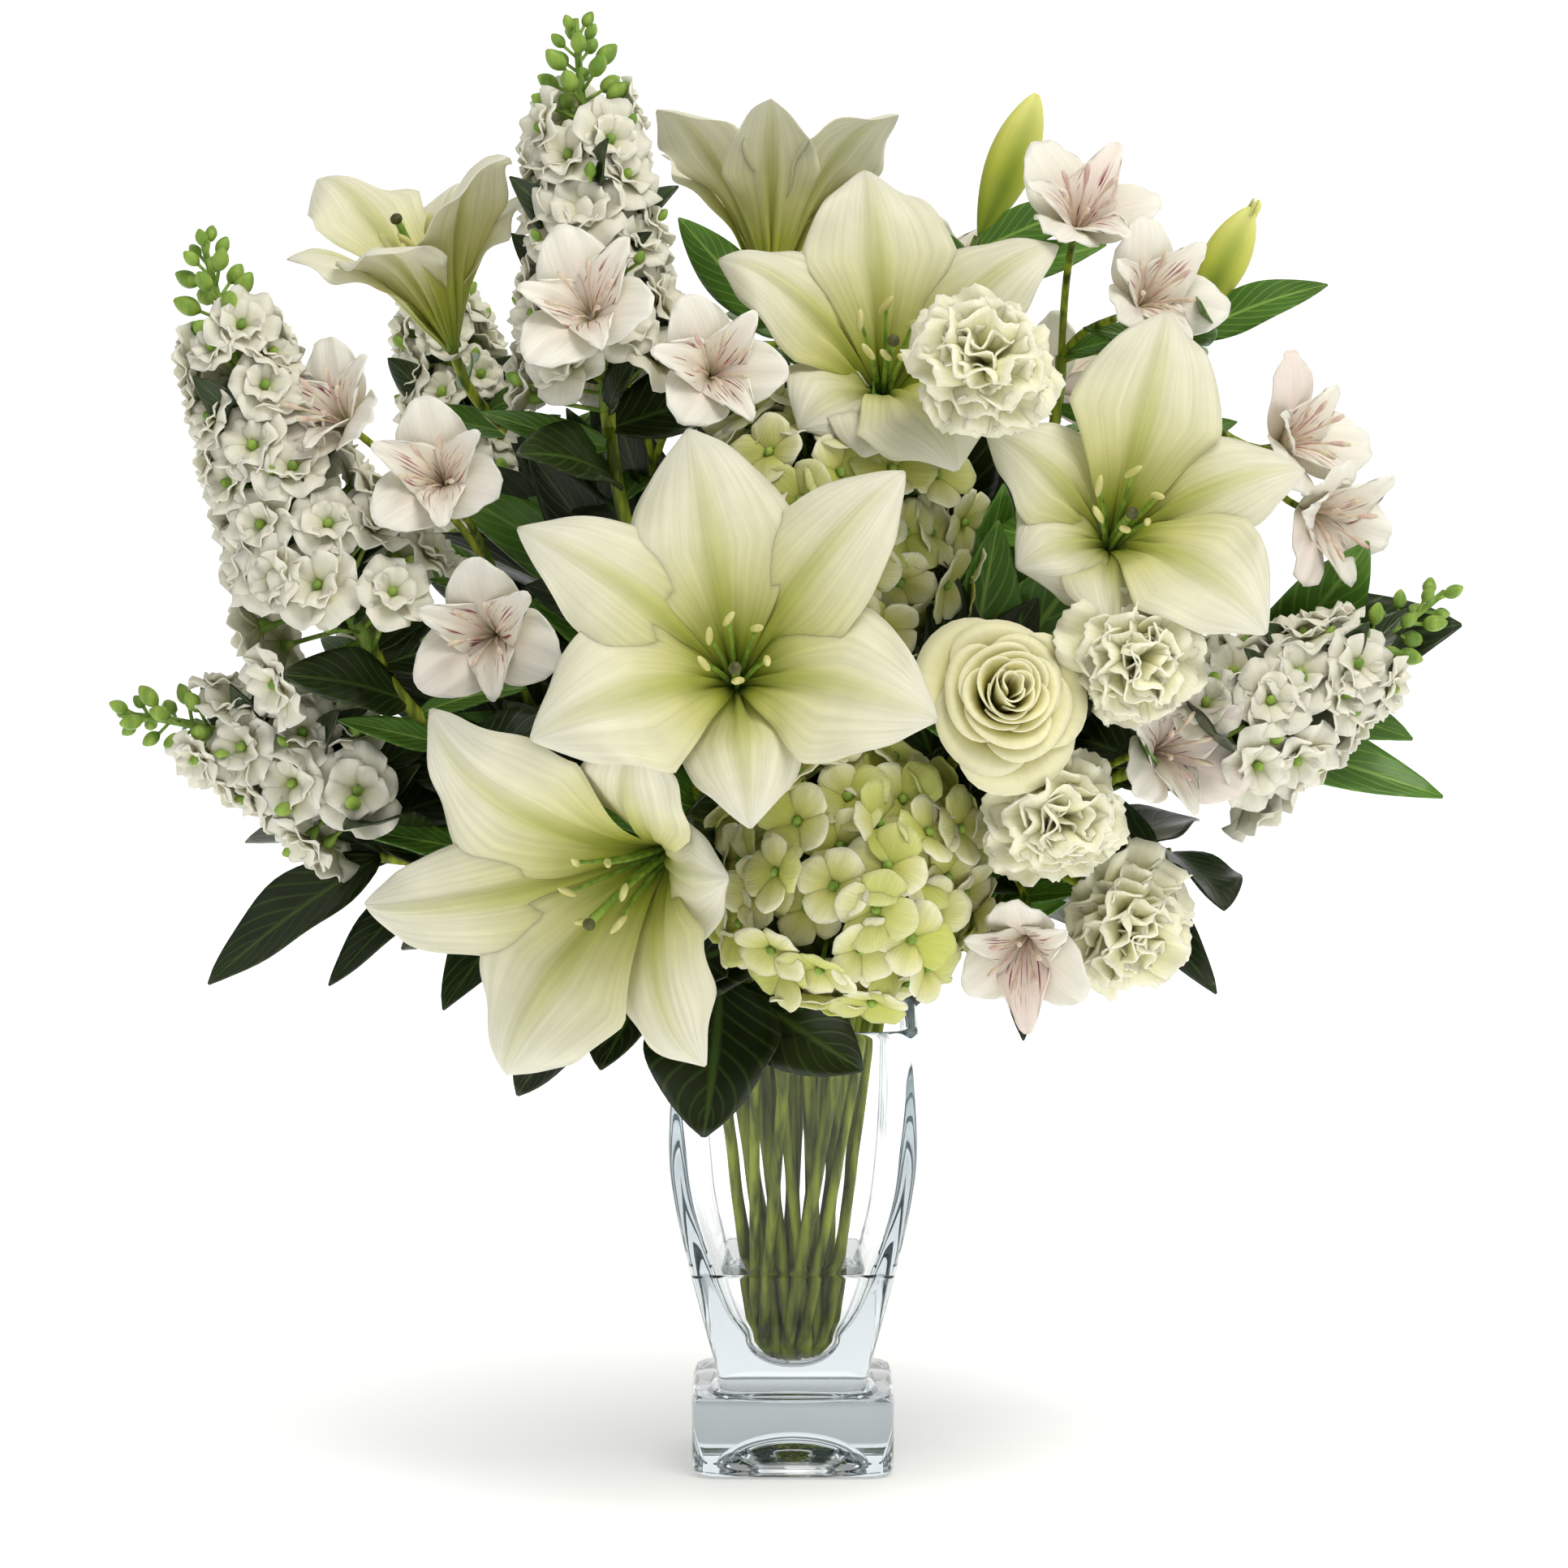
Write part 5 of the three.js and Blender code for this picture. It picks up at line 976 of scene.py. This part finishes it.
# %% Alstroemeria sprays
ALSTROEMERIAS = {  # the fork, then each bloom's throat and facing
    "alstroemeria_1": ((-50, -42, 376), [((-73, -102, 436), (-0.15, -0.9, 0.45)),
                                         ((-26, -106, 414), (0.2, -0.9, 0.3))]),
    "alstroemeria_2": ((-105, -50, 330), [((-125, -98, 376), (-0.1, -0.9, 0.35)),
                                          ((-166, -78, 398), (-0.5, -0.7, 0.5)),
                                          ((-108, -110, 320), (-0.2, -0.95, 0.1))]),
    "alstroemeria_3": ((98, -5, 412), [((104, -45, 469), (0.15, -0.7, 0.7)),
                                       ((130, -54, 438), (0.4, -0.8, 0.4)),
                                       ((187, -40, 386), (0.65, -0.6, 0.3)),
                                       ((196, -44, 354), (0.6, -0.75, -0.2))]),
    "alstroemeria_4": ((78, -46, 226), [((80, -104, 205), (-0.2, -0.9, -0.3)),
                                        ((136, -97, 278), (0.5, -0.85, 0.15))]),
    "alstroemeria_5": ((30, 75, 400), [((58, 100, 440), (0.35, 0.7, 0.6)),
                                       ((105, 75, 400), (0.7, 0.6, 0.4)),
                                       ((-62, 95, 430), (-0.4, 0.7, 0.6))]),
}
FUNNEL = 29.0                   # radius of an open bloom
FUNNEL_DEPTH = 0.62 * FUNNEL    # from its base to its throat


def funnels(base, view, seed):
    """Open funnels: broad petals outside, slim streaked ones inside, and six curved stamens."""
    shape = dict(rows=16, cols=11, neck=0.16, thickness=0.55, vary=0.09)
    turn = 90 + 30 * draw(seed, np.arange(len(base)))
    broad, slim = np.full(len(base), 1.26 * FUNNEL), np.full(len(base), 1.24 * FUNNEL)
    parts = [ring(base, view, 3, seed, broad, 0.4, 24, 56, turn=turn, cup=-0.1, ruffle=0.03,
                  rounding=0.3, point=0.2, finish=3, **shape),
             ring(base, view, 3, seed + 1, slim, 0.3, 16, 54, turn=turn + 60, cup=0.2,
                  ruffle=0.02, mark=1.0, rounding=0.35, point=0.45, finish=3, **shape)]
    six = np.arange(6)
    for i in range(len(base)):
        lines = stalks(base[i], view[i], 60 * six + 20, np.full(6, 0.85 * FUNNEL),
                       0.22 + 0.1 * draw(seed + i, six), start=2.0, spread=1.0)
        parts.append(tubes(lines, np.append(np.full(9, 0.45), [0.9, 1.1, 0.6]), 6, finish=4))
    return parts


alstroemeria_parts = {}
for index, (name, (_, blooms)) in enumerate(ALSTROEMERIAS.items()):
    view = view_of([facing for _, facing in blooms])
    base = np.array([throat for throat, _ in blooms], float) - FUNNEL_DEPTH * view[:, 0]
    seats[name] = (base, view[:, 0])
    alstroemeria_parts[name] = funnels(base, view, 20 + 5 * index)
print({name: len(parts) for name, parts in alstroemeria_parts.items()})

# %% [markdown]
# ## Leaves
# A leaf is one blade: it is folded along the rib, droops towards the tip and waves at the margins.
# The dark ones belong to leafy branches that collar the bouquet; narrow fresh ones grow on the
# flowers' own stems and fill the gaps between the blooms.

# %% Leaf blades
def leaves(root, tip, half, droop=0.12, seed=0.0, finish=0, rows=18, cols=9):
    """Blades from roots to tips. Their width is half times 0.12 (1 - t) + sin(pi t^0.85)^0.8, the
    sides rise by 0.3 of it and wave, and each blade bends a little to one side by a seeded draw and
    sinks by droop times its length times t^2. They face up, outwards and to the nearer side."""
    root, tip = np.atleast_2d(np.asarray(root, float)), np.atleast_2d(np.asarray(tip, float))
    reach = np.linalg.norm(tip - root, axis=1)[:, None, None, None]
    outward = unit(root * [1, 1, 0] + 1e-6)
    ahead = unit(tip - root)
    facing = np.where(tip[:, 1:2] < 0, -1, 1) * [0, 1, 0]
    side = unit(np.cross(ahead, 0.6 * UP + 0.6 * outward + 0.8 * facing))
    normal = np.cross(side, ahead)
    t = np.linspace(0.0, 0.995, rows)[:, None, None]
    s = np.linspace(-1, 1, cols)[:, None]
    n = np.arange(len(root))
    chance = draw(seed + n, 5)[:, None, None, None]
    width = np.reshape(half, (-1, 1, 1, 1)) * (0.12 * (1 - t) + np.sin(np.pi * t ** 0.85) ** 0.8)
    wave = 0.1 * width * np.sin(11 * t + 4 * chance) * np.abs(s)
    lift = 0.3 * np.abs(s) ** 1.3 * width - droop * reach * t ** 2 + wave
    bend = 0.08 * reach * np.sin(np.pi * t) * (chance - 0.5)
    axes = [v[:, None, None] for v in (ahead, side, normal)]
    middle = root[:, None, None] + axes[0] * (reach * t) + axes[1] * (width * s + bend) + axes[2] * lift
    return blades(middle, 0.7, chance.ravel(), finish=finish)


def along(path, low, high, count, seed, length, half, finish, rise=0.35):
    """Leaves that wind up a stem between two shares of its length, by the golden angle."""
    share = np.linspace(low, high, count)
    i = share * (len(path) - 1)
    spot = np.stack([np.interp(i, np.arange(len(path)), path[:, k]) for k in range(3)], 1)
    turn = GOLDEN_ANGLE * np.arange(count) + 6.28 * draw(seed, 1)
    out = np.stack([np.cos(turn), np.sin(turn), np.full(count, rise)], 1)
    size = length * (0.75 + 0.5 * draw(seed, np.arange(count)))
    return leaves(spot, spot + unit(out) * size[:, None], half * size / length, 0.2, seed, finish)


# %% Every stem's way
LILY_STEMS = {  # the fork, what the side stems carry, and leaves below a bloom
    "lily_stem_1": ((-35, -38, 268), ["lily_1", "lily_2"], []),
    "lily_stem_2": ((100, -20, 330), ["lily_3", "lily_bud_2"],
                    [("lily_bud_2", (190, -35, 441), 8), ("lily_bud_2", (150, -60, 436), 8)]),
    "lily_stem_3": ((25, 32, 380), ["lily_4", "lily_5", "lily_bud_1"],
                    [("lily_5", (-42, 0, 462), 9), ("lily_bud_1", (108, -10, 470), 8)]),
    "lily_stem_4": ((-50, 40, 330), ["lily_6", "lily_7"], []),
}
GREENS = {  # the branch's end, then for each leaf its place along the branch, its tip and half width
    "foliage_1": ((-150, -42, 232), [(1, (-214, -60, 193), 13), (0.85, (-170, -60, 192), 9),
                                     (0.6, (-128, -72, 188), 15), (0.7, (-120, -5, 185), 18),
                                     (0.9, (-200, 5, 240), 17)]),
    "foliage_2": ((-72, -46, 190), [(1, (-102, -62, 150), 15), (0.35, (-34, -70, 137), 24),
                                    (0.7, (-70, -90, 168), 16), (0.6, (-90, -5, 165), 18),
                                    (0.2, (24, -58, 158), 17)]),
    "foliage_3": ((138, -30, 232), [(1, (156, -72, 222), 14), (0.8, (155, -60, 191), 12),
                                    (0.55, (88, -66, 176), 11), (0.7, (130, 15, 190), 17)]),
    "foliage_4": ((182, -10, 300), [(0.72, (236, -46, 264), 17), (0.9, (228, -22, 278), 13),
                                    (0.95, (207, -48, 342), 16), (0.7, (190, 25, 270), 18)]),
    "foliage_5": ((-95, 60, 205), [(1, (-150, 85, 185), 18), (0.8, (-95, 105, 170), 18),
                                   (0.5, (-40, 80, 150), 20)]),
    "foliage_6": ((85, 70, 205), [(1, (140, 95, 190), 18), (0.8, (85, 115, 175), 18),
                                  (0.5, (35, 80, 152), 20)]),
}
FRESH_BRANCH = "foliage_4"             # its listed leaves are young
SHIFTS = {"carnation_1": (-6, 70, 0)}  # of a stem's middle, where it would pass before a bloom
SINGLE = [*HYDRANGEAS, *ROSES, *CARNATIONS, *STOCKS]  # one bloom to a stem
CALYX_DEPTH = {name: 20.0 if name in CARNATIONS else 6.0 for name in SINGLE}
ways = {}
for name, (fork, carried, _) in LILY_STEMS.items():
    fork = np.array(fork, float)
    ways[name] = [main_stem(fork, UP)] + [side_stem(fork, *seats[bloom]) for bloom in carried]
for name, calyx in CALYX_DEPTH.items():
    base, front = seats[name]
    ways[name] = [main_stem(base - calyx * front, front, SHIFTS.get(name, (0, 0, 0)))]
for name, (fork, _) in ALSTROEMERIAS.items():
    fork = np.array(fork, float)
    ways[name] = [main_stem(fork, UP)] + [side_stem(fork, base, front) for base, front in zip(*seats[name])]
for name, (end, _) in GREENS.items():
    end = np.array(end, float)
    ways[name] = [main_stem(end, unit(np.array([end[0], end[1], 0.1 * np.linalg.norm(end)])))]
lengths = [np.linalg.norm(np.diff(paths[0], axis=0), axis=1).sum() for paths in ways.values()]
print(len(ways), "plants, the longest stem", round(max(lengths)), "mm")

# %% [markdown]
# ## Leaves that fill the gaps
# Between the blooms one looks into dark leaves. Their tips lie on a few egg-shaped shells inside
# the bouquet, spread by the golden angle. Each is rooted on the point of a stem that is nearest to
# a spot further in and lower, so it grows where a stem can carry it.

# %% Filling leaves
FILLING = 170
HEART, SPAN = np.array([-5.0, -8, 285]), np.array([172.0, 92, 150])
DARK_SHARE = 0.8
i = np.arange(FILLING)
height = mix(0.98, -0.5, (i + 0.5) / FILLING)
level = np.sqrt(1 - height ** 2)
direction = np.stack([level * np.cos(GOLDEN_ANGLE * i), level * np.sin(GOLDEN_ANGLE * i), height], 1)
tips = HEART + direction * SPAN * (0.62 + 0.34 * draw(i, 3))[:, None]
inner = HEART + (tips - HEART) * 0.55 - [0, 0, 24]
owners = [name for name, paths in ways.items() for path in paths for _ in path[12:]]
spots = np.concatenate([path[12:] for paths in ways.values() for path in paths])
nearest = np.argmin(np.linalg.norm(inner[:, None] - spots, axis=2), axis=1)
roots = spots[nearest]
wide = 9 + 8 * draw(i, 9)
filling = {}
for name in ways:
    own = np.array([owners[k] == name for k in nearest])
    dark = own & (draw(i, 5) < DARK_SHARE)
    filling[name] = [leaves(roots[pick], tips[pick], wide[pick], 0.1, 3 * len(filling), finish)
                     for pick, finish in ((dark, 2), (own & ~dark, 1)) if pick.any()]
print(sum(len(f) for f in filling.values()), "groups of filling leaves")

# %% Lily stems, with their buds' and blooms' side stems
GREENERY = [GREEN_STEM, FRESH_LEAF, DARK_LEAF]
for index, (name, (_, carried, extra)) in enumerate(LILY_STEMS.items()):
    parts = [tubes(path, size, 12) for path, size in zip(ways[name], [2.6] + [2.0] * len(carried))]
    for bloom, tip, half in extra:
        base, front = seats[bloom]
        parts.append(leaves(base - 6 * front, tip, half, seed=index, finish=1))
    parts += [along(path, 0.45, 0.9, 5, 80 + 7 * index + j, 46, 6.5, 1) for j, path in enumerate(ways[name])]
    piece(name + "_green", parts + filling[name], GREENERY, [name])

# %% Stems of the single blooms
STEM_SIZES = [(HYDRANGEAS, [2.5, 2.7, 4.0]), (ROSES, [2.4, 4.5, 5.2]),  # radii, from the stem to its bloom
              (CARNATIONS, [2.0, 5.0, 6.0]), (STOCKS, [2.5, 2.7, 2.8])]
for index, (name, cup) in enumerate([(name, cup) for kind, cup in STEM_SIZES for name in kind]):
    path = ways[name][0]
    swelling = mix(path[-1], seats[name][0], np.linspace(0, 1, 8)[:, None])
    parts = [tubes(path, cup[0], 12), tubes(swelling, np.interp(np.linspace(0, 2, 8), [0, 1, 2], cup), 14)]
    if name in STOCKS:
        parts.append(along(path, 0.62, 0.98, 7, 100 + index, 52, 6.0, 1))
        parts.append(along(path, 0.78, 1.0, 5, 105 + index, 50, 11.0, 2))
        lower = spike_axes[name](np.linspace(0, 0.55, 24))
        parts.append(along(lower, 0.0, 0.97, 14, 110 + index, 35, 6.0, 2, 0.8))
    if name in ROSES:
        parts.append(along(path, 0.7, 0.95, 5, 100 + index, 44, 13.0, 1))
    if name in HYDRANGEAS:
        parts.append(along(path, 0.7, 0.9, 4, 100 + index, 62, 22.0, 2))
    piece(name + "_stalk", parts + filling[name], GREENERY, [name + "_stem"])

# %% Alstroemeria stems join their blooms
for index, (name, parts) in enumerate(alstroemeria_parts.items()):
    parts += [tubes(path, size, 10) for path, size in zip(ways[name], [2.2] + [1.4] * 4)]
    parts.append(along(ways[name][0], 0.6, 1.0, 10, 130 + index, 48, 6.0, 1))
    piece(name + "_spray", parts + filling[name], GREENERY + [ALSTROEMERIA_PETAL, PALE_STALK],
          [name])

# %% Leafy branches
for index, (name, (_, row)) in enumerate(GREENS.items()):
    path = ways[name][0]
    share, tips, half = zip(*row)
    i = 11 + np.array(share) * (len(path) - 12)
    roots = np.stack([np.interp(i, np.arange(len(path)), path[:, k]) for k in range(3)], 1)
    finish = 1 if name == FRESH_BRANCH else 2
    parts = [tubes(path, 2.0, 10), leaves(roots, tips, half, seed=10 * index, finish=finish)]
    parts.append(along(path, 0.55, 0.98, 7, 160 + index, 58, 15.0, 2))
    piece(name + "_leaves", parts + filling[name], GREENERY, [name])

# %% [markdown]
# ## The white sweep
# A wide sheet of matt white paper lies flat under the vase and curves up behind it. It glows with
# painted light, a little near the vase and more away from it, so it stays white there. The weaker
# glow round the foot is painted shade on top of the vase's own soft shadow.

# %% Backdrop
SWEEP_HALF, SWEEP_BACK, SWEEP_RADIUS, PAPER_BELOW = 6.0, 2.5, 2.0, 0.0004  # metres
FLAT_ROWS, ROUND_ROWS = 12, 18
bend = np.linspace(0, np.pi / 2, ROUND_ROWS)
y = np.append(np.linspace(-SWEEP_HALF, SWEEP_BACK, FLAT_ROWS), SWEEP_BACK + SWEEP_RADIUS * np.sin(bend))
z = np.append(np.zeros(FLAT_ROWS), SWEEP_RADIUS * (1 - np.cos(bend))) - PAPER_BELOW
x = np.linspace(-SWEEP_HALF, SWEEP_HALF, 3)[:, None]
points = np.stack(np.broadcast_arrays(x, y, z), -1).reshape(-1, 3)
index = np.arange(len(points)).reshape(3, -1)
faces = np.stack([index[:-1, :-1], index[1:, :-1], index[1:, 1:], index[:-1, 1:]], -1).reshape(-1, 4)
mesh = bpy.data.meshes.new("white_sweep")
mesh.from_pydata(points.tolist(), [], faces.tolist())
mesh.polygons.foreach_set("use_smooth", np.ones(len(mesh.polygons), bool))
sweep = bpy.data.objects.new("white_sweep", mesh)
scene.collection.objects.link(sweep)
material, tree, shader = blank("glowing_white_paper", Base_Color=(0.93, 0.93, 0.93, 1), Roughness=0.9,
                               Emission_Color=(1, 1, 1, 1))
place = add(tree, "ShaderNodeTexCoord", {})
away = add(tree, "ShaderNodeVectorMath", {0: place.outputs["Object"]}, operation="LENGTH")
# Painted light and shade: the paper's glow rises from 0.34 at 5 cm from the vase to 0.65 at 26 cm, so the
# floor is whiter further out and shaded round the foot.
lit = add(tree, "ShaderNodeMapRange", {0: away.outputs["Value"], 1: 0.05, 2: 0.26, 3: 0.34, 4: 0.65})
tree.links.new(lit.outputs[0], shader.inputs["Emission Strength"])
# Fibres a few tenths of a millimetre wide don't show, so they are drawn 2.5 mm wide and very weak.
fibre = add(tree, "ShaderNodeTexNoise", {"Vector": place.outputs["Object"], "Scale": 400.0})
bump = add(tree, "ShaderNodeBump", {"Height": fibre.outputs[0], "Strength": 0.03, "Distance": 0.0002})
tree.links.new(bump.outputs[0], shader.inputs["Normal"])
mesh.materials.append(material)
